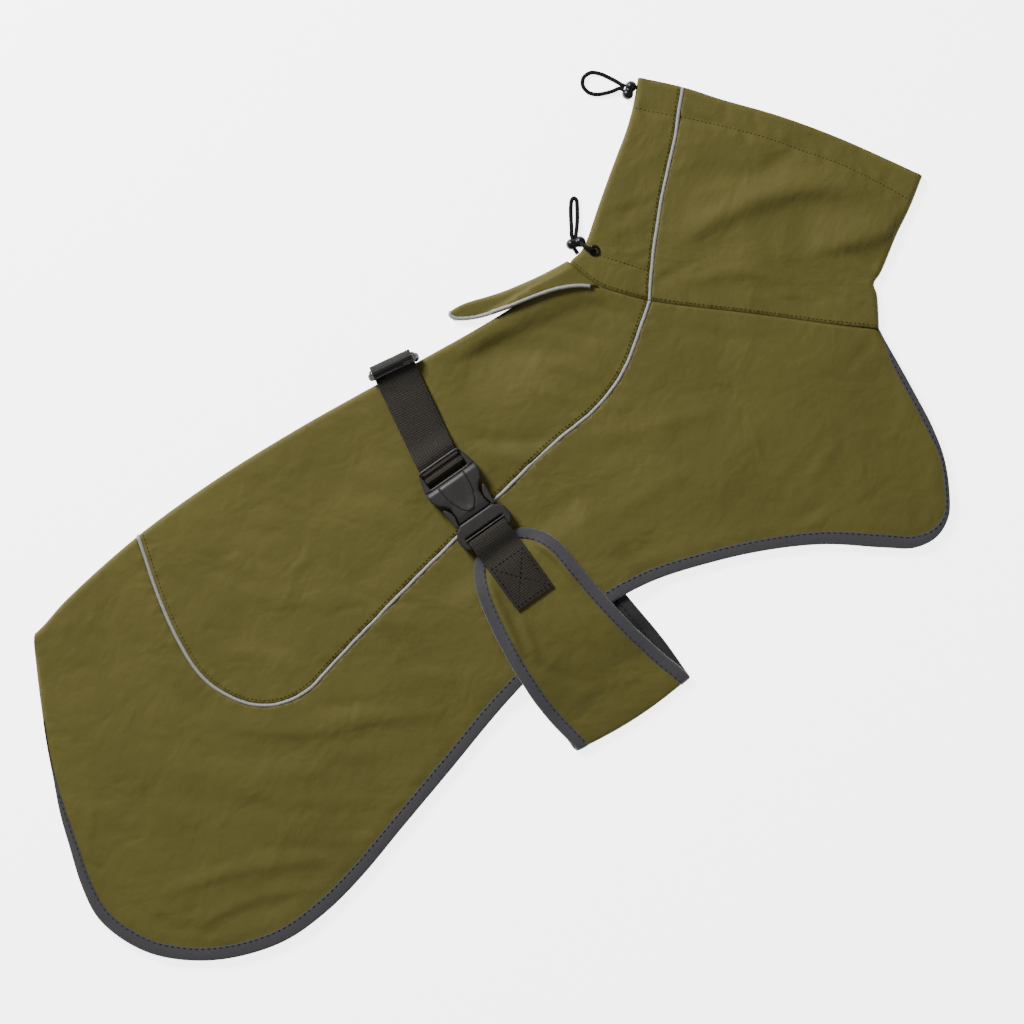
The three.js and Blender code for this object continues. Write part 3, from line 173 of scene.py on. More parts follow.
# Creases on top of the soft folds: rise, width on the left and on the right, then the crest's points.
CREASES = [
    # collar: the long folds from the throat towards the nape
    (4.5, 16.3, 9.9, (627, -37), (668, -42), (707, -46), (742, -56), (773, -72), (796, -96), (807, -121)),
    (-1.6, 8.6, 11.2, (694, 17), (709, -10), (729, -29), (757, -34), (779, -36)),
    (1.4, 15.5, 10.3, (669, -77), (700, -93), (726, -108), (748, -134)),
    (1.3, 8.6, 5.2, (619, -66), (643, -77), (671, -89), (690, -107), (703, -129)),
    (-0.9, 4.3, 5.2, (603, -63), (617, -58), (633, -60), (650, -63)),
    # the tuck at the throat
    (1.5, 12, 25.8, (815, -108), (797, -116), (775, -128), (757, -139), (740, -149)),
    (-1.8, 7.7, 2.6, (747, -96), (754, -116), (759, -133), (766, -147), (778, -166)),
    (4, 17.2, 6.5, (735, -107), (748, -116), (763, -124), (780, -131), (797, -136), (824, -143)),
    (-0.35, 4.3, 4.3, (709, -115), (710, -131), (714, -150)),
    (0.6, 4.3, 3.4, (614, 14), (640, 9), (665, 2)),
    (0.7, 5.2, 3.4, (675, -16), (699, -22), (719, -32)),
    (-0.6, 4.3, 4.3, (671, -28), (691, -33), (710, -45)),
    (0.6, 5.2, 4.3, (661, -52), (684, -60), (706, -71)),
    (-0.5, 3.4, 4.3, (670, -102), (683, -118), (694, -139)),
    (0.6, 5.2, 3.4, (680, -124), (700, -134), (716, -150)),
    (0.5, 4.3, 3.4, (669, 14), (687, 9), (707, 6)),
    # along the drawcord tunnel
    (-1, 3.9, 4.3, (717, 54), (721, 37), (732, 23)),
    (-0.6, 4.3, 5.2, (745, 38), (743, 16), (751, 5)),
    (-0.5, 4.3, 4.3, (764, 19), (758, 3), (763, -7)),
    (-0.6, 3.4, 4.3, (785, -20), (782, -36), (789, -45)),
    (-0.5, 4.3, 4.3, (683, 76), (694, 65), (707, 54)),
    (-0.4, 4.3, 4.3, (807, -56), (806, -70), (810, -81)),
    (-0.4, 4.3, 4.3, (828, -89), (825, -105), (830, -114)),
    # nape side of the collar
    (-0.7, 5.2, 5.2, (612, 8), (636, 5), (658, 1)),
    (0.6, 6, 5.2, (593, 1), (614, -5), (638, -12)),
    (0.45, 4.3, 3.4, (585, -25), (606, -27), (626, -29)),
    (0.4, 4.3, 3.4, (574, -35), (596, -38), (616, -41)),
    (0.35, 4.3, 4.3, (649, 34), (665, 33), (682, 29)),
    # front of the saddle, below the flap
    (-4.2, 11.2, 27.5, (408, -18), (440, -22), (469, -26), (492, -31), (515, -35), (537, -41), (563, -50),
     (585, -62)),
    (0.7, 6.9, 8.6, (570, -47), (558, -31), (540, -14)),
    (-0.9, 6, 6.9, (511, -33), (533, -58), (556, -84)),
    (-0.7, 3.4, 4.3, (552, -33), (560, -49), (576, -68)),
    (0.8, 7.7, 6, (485, -52), (510, -76), (530, -107)),
    (0.6, 6, 5.2, (466, -67), (489, -92), (510, -120)),
    (-0.8, 8.6, 8.6, (437, -14), (469, -31), (498, -50), (523, -74)),
    (-1.3, 6.9, 5.2, (391, -59), (415, -85), (444, -107), (473, -120)),
    (0.9, 6, 6.9, (385, -73), (416, -102), (444, -122), (472, -130)),
    (0.5, 6, 6.9, (394, -13), (420, -20), (445, -33)),
    (-0.7, 5.2, 5.2, (401, -102), (404, -118), (407, -139)),
    # rear of the saddle
    (-1.1, 11.2, 12.9, (241, -16), (241, -52), (243, -87), (249, -125), (265, -149)),
    (-0.5, 4.3, 4.3, (240, -15), (249, -26), (257, -44)),
    (1.1, 14.6, 12.9, (272, -40), (293, -73), (312, -100), (328, -132)),
    (-0.8, 6, 8.6, (148, -19), (162, -42), (174, -64), (184, -82)),
    (-0.5, 5.2, 6, (180, -36), (195, -55), (211, -74)),
    (1, 12, 7.7, (142, -52), (177, -81), (209, -112), (235, -128), (263, -141)),
    (-0.35, 3.4, 3.4, (208, -131), (234, -135), (253, -145)),
    (0.8, 8.6, 7.7, (115, -94), (145, -123), (174, -154)),
    (-0.35, 3.4, 4.3, (115, -79), (129, -83), (141, -93)),
    (0.45, 6, 6, (150, 31), (169, 10), (185, -11)),
    (-0.4, 5.2, 5.2, (202, -45), (215, -45), (229, -48)),
    (-0.6, 8.6, 7.7, (315, -23), (330, -41), (346, -63)),
    (0.5, 7.7, 7.7, (289, -37), (314, -53), (337, -80)),
    (0.4, 8.6, 8.6, (215, 13), (241, 5), (274, -4)),
    # rump
    (0.7, 6, 5.2, (7, 4), (22, -5), (42, -9)),
    (-0.9, 11.2, 7.7, (82, -21), (68, -53), (64, -88), (74, -122), (94, -151)),
    (-0.4, 5.2, 5.2, (-3, -43), (14, -46), (29, -51)),
    (0.4, 8.6, 8.6, (-25, -72), (6, -72), (30, -83)),
    # flank
    (1.4, 10.3, 6.9, (76, -135), (99, -164), (125, -188), (161, -211), (202, -227), (240, -249),
     (272, -274)),
    (-0.7, 5.2, 5.2, (151, -177), (180, -199), (218, -219)),
    (-1.1, 10.3, 10.3, (60, -154), (83, -187), (112, -206), (138, -228), (164, -252), (196, -269),
     (233, -282)),
    (1.2, 12, 8.6, (45, -184), (74, -215), (99, -240), (133, -266), (171, -289)),
    (0.4, 4.3, 4.3, (104, -286), (125, -300), (145, -312)),
    (-0.6, 6.9, 6.9, (38, -251), (82, -279), (117, -307)),
    (0.9, 8.6, 4.3, (-57, -243), (-23, -249), (7, -258), (36, -270), (74, -290), (109, -309)),
    (1.1, 8.6, 5.2, (-45, -286), (-7, -286), (25, -293), (53, -305), (90, -324)),
    (-0.5, 4.3, 4.3, (-51, -255), (-52, -273), (-56, -290)),
    (0.7, 4.3, 6.9, (-30, -133), (-48, -155), (-67, -175), (-75, -200), (-79, -221)),
    (-0.4, 6.9, 6.9, (-64, -187), (-28, -173), (4, -165)),
    (0.4, 10.3, 10.3, (-8, -168), (14, -196), (30, -226)),
    (0.6, 7.7, 6.9, (237, -205), (262, -224), (288, -251)),
    (0.6, 6.9, 6, (237, -153), (262, -169), (282, -191)),
    (-0.35, 4.3, 5.2, (257, -143), (273, -156), (288, -170)),
    (-0.35, 4.3, 4.3, (204, -173), (218, -174), (233, -180)),
    # chest
    (0.9, 7.7, 7.7, (466, -123), (511, -146), (544, -159), (578, -170), (612, -179)),
    (-0.8, 6, 7.7, (588, -80), (611, -108), (635, -133), (670, -162)),
    (0.7, 7.7, 6.9, (412, -149), (448, -161), (478, -166), (520, -172)),
    (0.8, 8.6, 7.7, (443, -204), (487, -201), (523, -204), (562, -212)),
    (1.1, 12.9, 13.8, (511, -241), (554, -226), (593, -216), (636, -201)),
    (0.7, 6.9, 5.2, (615, -274), (639, -266), (667, -256)),
    (-0.45, 6, 6, (585, -295), (606, -296), (626, -303)),
    (-0.5, 5.2, 5.2, (742, -206), (721, -208), (694, -214)),
    (-0.45, 6, 6.9, (690, -244), (702, -268), (720, -293)),
    (0.4, 10.3, 8.6, (434, -225), (460, -222), (487, -225)),
]

# Creases of the belly band.
BAND_CREASES = [
    (3.3, 4.3, 2.6, (348, -171), (341, -202), (335, -232), (328, -264)),
    (-0.8, 2.6, 2.6, (341, -175), (335, -200), (329, -230), (323, -259)),
    (2.4, 3.4, 2.6, (351, -222), (346, -243), (341, -269)),
    (1.2, 4.3, 2.6, (389, -225), (387, -251), (385, -290)),
    (3.2, 3.4, 2.6, (396, -171), (402, -191), (406, -210), (405, -237)),
    (1, 4.3, 4.3, (398, -236), (397, -273), (400, -307)),
    (-0.8, 5.2, 5.2, (331, -253), (348, -283), (374, -305)),
    (0.9, 6, 5.2, (330, -314), (363, -312), (407, -324)),
]
# ---------------------------------------------------------------- lines and areas in plan


def mix(a, b, share):
    """From a at share 0 to b at share 1."""
    return a + (b - a) * share


def cos_sin(degrees):
    return math.cos(math.radians(degrees)), math.sin(math.radians(degrees))


def hill(distance, width):
    """A soft ridge of height 1 over its middle, all but gone at twice its width."""
    return np.exp(-((distance / width) ** 2))


def smoothstep(value, low, high):
    share = np.clip((value - low) / (high - low), 0, 1)
    return share * share * (3 - 2 * share)


def smooth(rows, steps):
    """A centripetal curve through the rows, with as many steps as asked."""
    p = np.asarray(rows, float)
    p = np.vstack([2 * p[0] - p[1], p, 2 * p[-1] - p[-2]])
    out = []
    for t in np.linspace(0, len(p) - 3, steps + 1):
        i = min(int(t), len(p) - 4)
        w = t - i
        a, b, c, d = p[i:i + 4]
        one, two, three = (max(np.linalg.norm(v) ** 0.5, 1e-4) for v in (b - a, c - b, d - c))
        start = ((b - a) / one - (c - a) / (one + two) + (c - b) / two) * two
        end = ((c - b) / two - (d - b) / (two + three) + (d - c) / three) * two
        w2, w3 = w * w, w * w * w
        out.append((2 * w3 - 3 * w2 + 1) * b + (w3 - 2 * w2 + w) * start
                   + (3 * w2 - 2 * w3) * c + (w3 - w2) * end)
    return np.array(out)

def lengths(line):
    """How far along the line each of its points is."""
    return np.concatenate([[0], np.cumsum(np.linalg.norm(np.diff(line, axis=0), axis=1))])


def spaced(line, step):
    """The line with its points a step apart."""
    s = lengths(line)
    at = np.linspace(0, s[-1], max(int(round(s[-1] / step)), 1) + 1)
    return np.stack([np.interp(at, s, line[:, k]) for k in range(line.shape[1])], axis=1)


def move_left(line, distance):
    """The line moved to its left by a distance, or by one for each point."""
    before = np.vstack([line[:1], line[:-1]])
    after = np.vstack([line[1:], line[-1:]])
    along = after - before
    along /= np.linalg.norm(along, axis=1)[:, None]
    left = np.stack([-along[:, 1], along[:, 0]], axis=1)
    return line + left * np.broadcast_to(np.asarray(distance, float), len(line))[:, None]


def near_line(points, line):
    """Distance of each point from the line, on its left above 0, and how far along the line it is."""
    a, b = line[:-1], line[1:]
    run = b - a
    size = np.maximum((run ** 2).sum(1), 1e-9)
    s = lengths(line)
    best = np.full(len(points), 1e9)
    side = np.ones(len(points))
    along = np.zeros(len(points))
    for k in range(len(a)):
        v = points - a[k]
        t = np.clip((v @ run[k]) / size[k], 0, 1)
        d = np.hypot(*(v - t[:, None] * run[k]).T)
        closer = d < best - 1e-9
        best = np.where(closer, d, best)
        cross = run[k, 0] * v[:, 1] - run[k, 1] * v[:, 0]
        side = np.where(closer, np.sign(cross), side)
        along = np.where(closer, s[k] + t * math.sqrt(size[k]), along)
    return best * side, along


def keep(line, value):
    """The stretch of the line where value(points) is above 0, cut off exactly where it is 0."""
    v = value(line)
    inside = np.where(v > 0)[0]
    first, last = inside[0], inside[-1]
    out = [line[first:last + 1]]
    if first > 0:
        t = v[first] / (v[first] - v[first - 1])
        out.insert(0, mix(line[first], line[first - 1], t)[None])
    if last < len(line) - 1:
        t = v[last] / (v[last] - v[last + 1])
        out.append(mix(line[last], line[last + 1], t)[None])
    return np.vstack(out)


def inside(points, loops):
    """Which points lie inside the loops, a loop within another being a hole."""
    odd = np.zeros(len(points), bool)
    x, y = points[:, 0], points[:, 1]
    for loop in loops:
        a, b = loop, np.roll(loop, -1, axis=0)
        for (ax, ay), (bx, by) in zip(a, b):
            if ay == by:
                continue
            crosses = (ay > y) != (by > y)
            odd ^= crosses & (x < (bx - ax) * (y - ay) / (by - ay) + ax)
    return odd


def fill(loops, grid, clear):
    """Triangles over the area inside the loops, through the grid's points that are clear of its edge."""
    kept = grid[inside(grid, loops)]
    for loop in loops:
        closed = np.vstack([loop, loop[:1]])
        kept = kept[np.abs(near_line(kept, closed)[0]) > clear]
    points, edges = [], []
    for loop in loops:
        start = len(points)
        points += [Vector(p) for p in loop]
        edges += [(start + k, start + (k + 1) % len(loop)) for k in range(len(loop))]
    points += [Vector(p) for p in kept]
    made, _, faces, _, _, _ = delaunay_2d_cdt(points, edges, [], 0, 1e-5)
    made = np.array([(p.x, p.y) for p in made])
    faces = np.array([f for f in faces if len(f) == 3])
    return made, faces[inside(made[faces].mean(axis=1), loops)]


def grid_over(low, high, step):
    """Points in staggered rows, so that triangles come out even."""
    rows = np.arange(low[1], high[1], step * 0.87)
    out = []
    for k, y in enumerate(rows):
        x = np.arange(low[0] + (k % 2) * step / 2, high[0], step)
        out.append(np.stack([x, np.full(len(x), y)], axis=1))
    return np.vstack(out)

# ---------------------------------------------------------------- meshes

# The shared frame holds the coat moved in plan, and the eyelet's box says by how much.
eyelet_low, eyelet_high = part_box("eyelet")
SHIFT = np.array([
    (eyelet_low[0] + eyelet_high[0]) / 2 / MM - EYELET[0],
    (eyelet_low[1] + eyelet_high[1]) / 2 / MM - EYELET[1],
    0,
])


def in_frame(points):
    """Points in the coat's own frame, in metres in the shared frame."""
    return (np.asarray(points, float) + SHIFT) * MM


def to_frame(point):
    return tuple(in_frame(point))


def linked(name, data):
    """A new object in the scene, of a mesh, a light or a camera."""
    made = bpy.data.objects.new(name, data)
    bpy.context.scene.collection.objects.link(made)
    return made


def part_of_coat(piece, slot_name, *nodes):
    """The piece rides the coat and shows in place of the solids that are named; slot_name is not used."""
    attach(piece, "root")
    if nodes:
        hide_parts(*nodes)
    return piece


def make_object(name, points, faces, finish, uv=None):
    """A mesh object from points in millimetres, with a flat pattern map where one is given."""
    mesh = bpy.data.meshes.new(name)
    mesh.from_pydata(in_frame(points).tolist(), [], [list(f) for f in faces])
    if uv is not None:
        layer = mesh.uv_layers.new(name="pattern")
        index = np.empty(len(mesh.loops), int)
        mesh.loops.foreach_get("vertex_index", index)
        layer.data.foreach_set("uv", (np.asarray(uv)[index] * MM).ravel())
    for material in finish:
        mesh.materials.append(material)
    on_floor(mesh)
    mesh.shade_smooth()
    return linked(name, mesh)


def on_floor(mesh):
    """Nothing of the coat reaches below the floor that it lies on."""
    for vertex in mesh.vertices:
        vertex.co.z = max(vertex.co.z, 0)


def finished(made):
    """The object with its modifiers applied, as a plain mesh."""
    graph = bpy.context.evaluated_depsgraph_get()
    mesh = bpy.data.meshes.new_from_object(made.evaluated_get(graph))
    on_floor(mesh)
    made.modifiers.clear()
    made.data = mesh
    return made


def thicken(made, thickness):
    """Gives a sheet its wall, inwards from its outer face; the inner face takes the second material."""
    wall = made.modifiers.new("wall", "SOLIDIFY")
    wall.thickness = thickness * MM
    wall.offset = -1
    wall.use_even_offset = True
    wall.use_rim = True
    wall.material_offset = 1
    wall.material_offset_rim = 0
    return finished(made)


def strip(name, sections, finish, uv=None, closed_ends=True):
    """A skin over sections, each a closed ring of as many points."""
    sections = np.asarray(sections, float)
    rows, ring = sections.shape[:2]
    faces = []
    for r in range(rows - 1):
        for k in range(ring):
            n = (k + 1) % ring
            faces.append((r * ring + k, r * ring + n, (r + 1) * ring + n, (r + 1) * ring + k))
    if closed_ends:
        faces.append(tuple(range(ring - 1, -1, -1)))
        faces.append(tuple((rows - 1) * ring + k for k in range(ring)))
    uv = None if uv is None else np.asarray(uv, float).reshape(-1, 2)
    made = make_object(name, sections.reshape(-1, 3), faces, finish, uv)
    face_out(made)
    return made


def face_out(made, merged=0):
    """Turns the faces outwards, once points no more than the merged distance apart are joined."""
    work = bmesh.new()
    work.from_mesh(made.data)
    if merged:
        bmesh.ops.remove_doubles(work, verts=work.verts, dist=merged)
    bmesh.ops.recalc_face_normals(work, faces=work.faces)
    work.to_mesh(made.data)
    work.free()


def frames_along(path):
    """Tangent, side and normal at each point of a path, carried along without twist."""
    tangent = np.gradient(path, axis=0)
    tangent /= np.linalg.norm(tangent, axis=1)[:, None]
    side = np.cross(tangent[0], (0, 0, 1.0))
    if np.linalg.norm(side) < 1e-3:
        side = np.cross(tangent[0], (0, 1.0, 0))
    sides = []
    for t in tangent:
        side = side - t * (side @ t)
        side /= np.linalg.norm(side)
        sides.append(side.copy())
    sides = np.array(sides)
    return tangent, sides, np.cross(sides, tangent)


def tube(name, path, radius, finish, sides=12):
    """A round tube; radius may differ for each point. Its map runs along it and round it."""
    radius = np.broadcast_to(np.asarray(radius, float), len(path))
    _, across, up = frames_along(path)
    angles = np.linspace(0, 2 * math.pi, sides, endpoint=False)
    ring = [path + radius[:, None] * (across * math.cos(a) + up * math.sin(a)) for a in angles]
    sections = np.stack(ring, axis=1)
    s = lengths(path)
    uv = np.stack([
        np.repeat(s[:, None], sides, axis=1),
        np.repeat((angles * radius.mean())[None], len(path), axis=0),
    ], axis=2)
    return strip(name, sections, finish, uv)

# ---------------------------------------------------------------- heights of the layers

STRAP_TURN = -9.8
# Where something lies between the layers or under the coat and lifts what is above it:
# x, y, turn in degrees, half length, half width, and the margin over which the lift runs out.
STRAP_PLACE = (376.5, -32, 90 + STRAP_TURN, 62, 31, 28)
FLAP_PLACE = (545, -10, -4, 42, 31, 26)
BAND_PLACE = (378, -245, 90, 52, 63, 26)
BAND_LIFT = BINDING_SWELL + CLOTH + GAP

BACK_LINE = smooth(BACK, 300)
HEM_STEPS = 380
HEM_LINE = smooth(HEM[:, :2], HEM_STEPS)
HEM_LENGTHS = lengths(HEM_LINE)
HEM_BOUND = np.maximum(smooth(np.stack([np.arange(len(HEM)), HEM[:, 2]], axis=1), HEM_STEPS)[:, 1], 0)
HEM_ROW = np.linspace(0, len(HEM) - 1, HEM_STEPS + 1)
SEAM_LINE = smooth(SADDLE_SEAM, 170)
NECK_LINE = smooth(NECK, 100)
COLLAR_SEAM_LINE = smooth(COLLAR_SEAM, 60)
COLLAR_TOP_LINE = smooth(COLLAR_TOP, 70)


def back_line(x):
    """y of the back line."""
    return np.interp(x, BACK_LINE[:, 0], BACK_LINE[:, 1])


def plateau(x, y, place):
    """1 where a thing lies, running out to 0 round it."""
    px, py, turn, half_long, half_wide, margin = place
    c, s = cos_sin(turn)
    along = np.abs((x - px) * c + (y - py) * s)
    across = np.abs((y - py) * c - (x - px) * s)
    ease = 1 - smoothstep(along, half_long, half_long + margin)
    return ease * (1 - smoothstep(across, half_wide, half_wide + margin))


def lift(x, y):
    """Height of the far half's underside, over the strap's sewn run and the flap's far layer."""
    return ((WEBBING + GAP) * plateau(x, y, STRAP_PLACE)
            + (FLAP_CLOTH + GAP) * plateau(x, y, FLAP_PLACE))


def folds(x, y, table):
    """Sum of a table's soft folds."""
    total = np.zeros_like(x)
    for fx, fy, turn, long, wide, rise in table:
        c, s = cos_sin(turn)
        along = ((x - fx) * c + (y - fy) * s) / long
        across = ((y - fy) * c - (x - fx) * s) / wide
        total += rise * np.exp(-along * along - across * across)
    return total


def creases(plan, table):
    """Height of the creases at points in plan; each runs out softly at both ends."""
    total = np.zeros(len(plan))
    for rise, left, right, *crest in table:
        line = smooth(crest, 5 * len(crest) - 5)
        distance, along = near_line(plan, line)
        share = along / lengths(line)[-1]
        ends = smoothstep(share, 0, 0.3) * (1 - smoothstep(share, 0.7, 1))
        total += rise * ends * hill(distance, np.where(distance > 0, left, right))
    return total


def near_top(x, y, reach):
    """Top of the near half, for its reach from the fold."""
    settled = 1 - hill(reach - FOLD_RADIUS, FOLD_EASE)
    lying = REST_HEIGHT + CLOTH + LOFT + folds(x, y, SOFT_FOLDS) + BAND_LIFT * plateau(x, y, BAND_PLACE)
    return lift(x, y) + mix(2 * FOLD_RADIUS, lying, settled)


def body_top(x, y):
    """Top of the body's near half."""
    return near_top(x, y, np.maximum(back_line(x) - y, FOLD_RADIUS))


def girth(reach, radius=FOLD_RADIUS):
    """Distance over the cloth from the middle of its fold, for a distance in plan."""
    reach = np.maximum(reach, 0)
    rolled = radius * np.arccos(np.clip(1 - reach / radius, -1, 1))
    return np.where(reach < radius, rolled, radius * math.pi / 2 + reach - radius)


def reach_at(u, radius=FOLD_RADIUS):
    """Distance in plan from the fold's edge, for a girth: the way back from girth()."""
    u = np.abs(u)
    quarter = radius * np.pi / 2
    rolled = radius * (1 - np.cos(np.minimum(u / radius, np.pi / 2)))
    return np.where(u < quarter, rolled, radius + u - quarter)


def over_fold(u, near, far, ground=0, radius=FOLD_RADIUS):
    """Heights of an outer face that turns over at a fold: near on top, far below, rolled in between."""
    rolled = ground + radius * (1 + np.sin(np.clip(u / radius, -np.pi / 2, np.pi / 2)))
    return np.where(np.abs(u) < radius * np.pi / 2, rolled, np.where(u > 0, near, far))


# How the cloth lies at its seams: line, depth, width of the dip, height of the puckers.
SEWN_SEAMS = [
    (SEAM_LINE, 0.15, 2.0, 0.3),
    (COLLAR_SEAM_LINE, 0.15, 2.0, 0.2),
    (NECK_LINE, 0.1, 1.2, 0.12),
]
PUCKER_AT = 4.5  # middle and width of the puckers' run beside a seam


def seam_relief(points):
    """How far the cloth dips into its seams, with small uneven puckers beside them."""
    total = np.zeros(len(points))
    for line, deep, wide, pucker in SEWN_SEAMS:
        distance, along = near_line(points, line)
        d = np.abs(distance)
        wave = (np.sin(along / 1.9 + 3.1 * np.sin(along / 13)) + 0.7 * np.sin(along / 2.9 + distance / 4)
                + 0.9 * np.sin(along / 7.3 + 2 * np.sin(along / 29)))
        total -= deep * hill(d, wide)
        total += pucker * wave * 0.6 * hill(d - PUCKER_AT, PUCKER_AT)
    return total


# ---------------------------------------------------------------- finishes

SHELL_DARK, SHELL_LIGHT, SHELL_GRAIN = "47421d", "534e24", "4c4721"
TABLE_GLOW = 3.9


def colour(code):
    """An sRGB hex colour as a linear one."""
    out = []
    for k in (0, 2, 4):
        c = int(code[k:k + 2], 16) / 255
        out.append(c / 12.92 if c <= 0.04045 else ((c + 0.055) / 1.055) ** 2.4)
    return (*out, 1.0)


def add(tree, kind, inputs=None, **settings):
    """One node with its settings, and its inputs given as values or as the outputs that feed them."""
    made = tree.nodes.new(kind)
    for name, value in settings.items():
        setattr(made, name, value)
    for name, value in (inputs or {}).items():
        if isinstance(value, bpy.types.NodeSocket):
            tree.links.new(value, made.inputs[name])
        else:
            made.inputs[name].default_value = value
    return made


def new_finish(name):
    """A new material and its empty tree."""
    material = bpy.data.materials.new(name)
    material.use_nodes = True
    material.node_tree.nodes.clear()
    return material, material.node_tree


def wave_scale(pitch):
    """Scale of a band wave whose bands are a pitch apart, in millimetres, on a map in metres."""
    return math.pi / 10 / (pitch * MM)


def noise_scale(width):
    """Scale of a noise whose grains are a width apart, in millimetres, on a map in metres."""
    return 1 / (width * MM)


def crossing_threads(tree, flat, across, along, **look):
    """Threads at one pitch and others over them at another, with their product, high where they cross."""
    warp, weft = (
        add(tree, "ShaderNodeTexWave", {"Vector": flat, "Scale": wave_scale(pitch), **look},
            bands_direction=way).outputs["Fac"]
        for pitch, way in ((across, "X"), (along, "Y")))
    crossed = add(tree, "ShaderNodeMath", {0: warp, 1: weft}, operation="MULTIPLY")
    return warp, weft, crossed.outputs["Value"]


def coated_polyester():
    """Waterproof shell: tightly woven polyester with a matt coating.
    The eye gets a soft, even olive, a faint cross weave, small crinkles and a low sheen."""
    material, tree = new_finish("coated woven polyester")
    flat = add(tree, "ShaderNodeTexCoord").outputs["UV"]
    solid = add(tree, "ShaderNodeTexCoord").outputs["Object"]
    patches = add(tree, "ShaderNodeTexNoise", {
        "Vector": solid, "Scale": noise_scale(90.91), "Detail": 3.0})
    cloudy = add(tree, "ShaderNodeMapRange", {
        "Value": patches.outputs["Fac"], "From Min": 0.3, "From Max": 0.7})
    grain = add(tree, "ShaderNodeTexNoise", {
        "Vector": flat, "Scale": noise_scale(1.923), "Detail": 2.0})
    base = add(tree, "ShaderNodeMix", {
        0: cloudy.outputs["Result"], 6: colour(SHELL_DARK), 7: colour(SHELL_LIGHT)}, data_type="RGBA")
    base = add(tree, "ShaderNodeMix", {
        0: grain.outputs["Fac"], 6: base.outputs[2], 7: colour(SHELL_GRAIN)}, data_type="RGBA")
    # The real weave has 0.4 mm threads; it is drawn at 1.5 mm so that it shows.
    weave = crossing_threads(tree, flat, 1.5, 1.5, Distortion=0.6, Detail=1.0)[2]
    crinkle = add(tree, "ShaderNodeTexNoise", {
        "Vector": flat, "Scale": noise_scale(10.53), "Detail": 4.0, "Roughness": 0.55})
    ripple = add(tree, "ShaderNodeTexNoise", {
        "Vector": flat, "Scale": noise_scale(41.67), "Detail": 2.5, "Distortion": 0.6})
    low = add(tree, "ShaderNodeBump", {
        "Height": ripple.outputs["Fac"], "Strength": 0.75, "Distance": 3.4 * MM})
    mid = add(tree, "ShaderNodeBump", {
        "Height": crinkle.outputs["Fac"], "Strength": 0.6, "Distance": 1.1 * MM,
        "Normal": low.outputs["Normal"]})
    fine = add(tree, "ShaderNodeBump", {
        "Height": weave, "Strength": 0.3, "Distance": 0.12 * MM, "Normal": mid.outputs["Normal"]})
    shader = add(tree, "ShaderNodeBsdfPrincipled", {
        "Base Color": base.outputs[2], "Roughness": 0.66, "IOR": 1.5, "Specular IOR Level": 0.12,
        "Sheen Weight": 0.03, "Sheen Roughness": 0.45, "Sheen Tint": colour("b9b06a"),
        "Normal": fine.outputs["Normal"]})
    add(tree, "ShaderNodeOutputMaterial", {"Surface": shader.outputs["BSDF"]})
    return material


def plain_cloth(name, dark, light, pitch, roughness, sheen, strength=0.5, specular=0.35):
    """Woven trims and lining: the eye gets close threads both ways and slightly mixed yarns.
    pitch is the threads' distance in millimetres, strength that of their relief."""
    material, tree = new_finish(name)
    flat = add(tree, "ShaderNodeTexCoord").outputs["UV"]
    yarns = add(tree, "ShaderNodeTexNoise", {
        "Vector": flat, "Scale": noise_scale(2.381), "Detail": 2.0})
    base = add(tree, "ShaderNodeMix", {
        0: yarns.outputs["Fac"], 6: colour(dark), 7: colour(light)}, data_type="RGBA")
    weave = crossing_threads(tree, flat, pitch, pitch)[2]
    crinkle = add(tree, "ShaderNodeTexNoise", {
        "Vector": flat, "Scale": noise_scale(7.692), "Detail": 3.0})
    low = add(tree, "ShaderNodeBump", {
        "Height": crinkle.outputs["Fac"], "Strength": 0.4, "Distance": 0.6 * MM})
    fine = add(tree, "ShaderNodeBump", {
        "Height": weave, "Strength": strength, "Distance": 0.2 * MM, "Normal": low.outputs["Normal"]})
    shader = add(tree, "ShaderNodeBsdfPrincipled", {
        "Base Color": base.outputs[2], "Roughness": roughness, "Sheen Weight": sheen,
        "Sheen Roughness": 0.5, "Specular IOR Level": specular, "Normal": fine.outputs["Normal"]})
    add(tree, "ShaderNodeOutputMaterial", {"Surface": shader.outputs["BSDF"]})
    return material


def ribbed_webbing(name, dark, light):
    """Woven polyester webbing: the eye gets close ribs across it, their crowns paler from a painted
    highlight.
    """
    material, tree = new_finish(name)
    flat = add(tree, "ShaderNodeTexCoord").outputs["UV"]
    # The real ribs are 1.1 mm apart; they are drawn at 2 mm so that they show.
    _, ribs, weave = crossing_threads(tree, flat, 2.3, 2.0)
    yarns = add(tree, "ShaderNodeTexNoise", {
        "Vector": flat, "Scale": noise_scale(1.667), "Detail": 2.0})
    # Colour follows the weave: painted highlight on the crowns of the ribs; the yarn noise is the tape's own
    # uneven tone.
    shade = add(tree, "ShaderNodeMath", {0: weave, 1: 0.55, 2: yarns.outputs["Fac"]},
                operation="MULTIPLY_ADD")
    spread = add(tree, "ShaderNodeMapRange", {
        "Value": shade.outputs["Value"], "From Min": 0.3, "From Max": 1.1})
    base = add(tree, "ShaderNodeMix", {
        0: spread.outputs["Result"], 6: colour(dark), 7: colour(light)}, data_type="RGBA")
    low = add(tree, "ShaderNodeBump", {"Height": ribs, "Strength": 0.5, "Distance": 0.3 * MM})
    fine = add(tree, "ShaderNodeBump", {
        "Height": weave, "Strength": 0.5, "Distance": 0.2 * MM, "Normal": low.outputs["Normal"]})
    shader = add(tree, "ShaderNodeBsdfPrincipled", {
        "Base Color": base.outputs[2], "Roughness": 0.85, "Sheen Weight": 0.04,
        "Specular IOR Level": 0.1, "Normal": fine.outputs["Normal"]})
    add(tree, "ShaderNodeOutputMaterial", {"Surface": shader.outputs["BSDF"]})
    return material


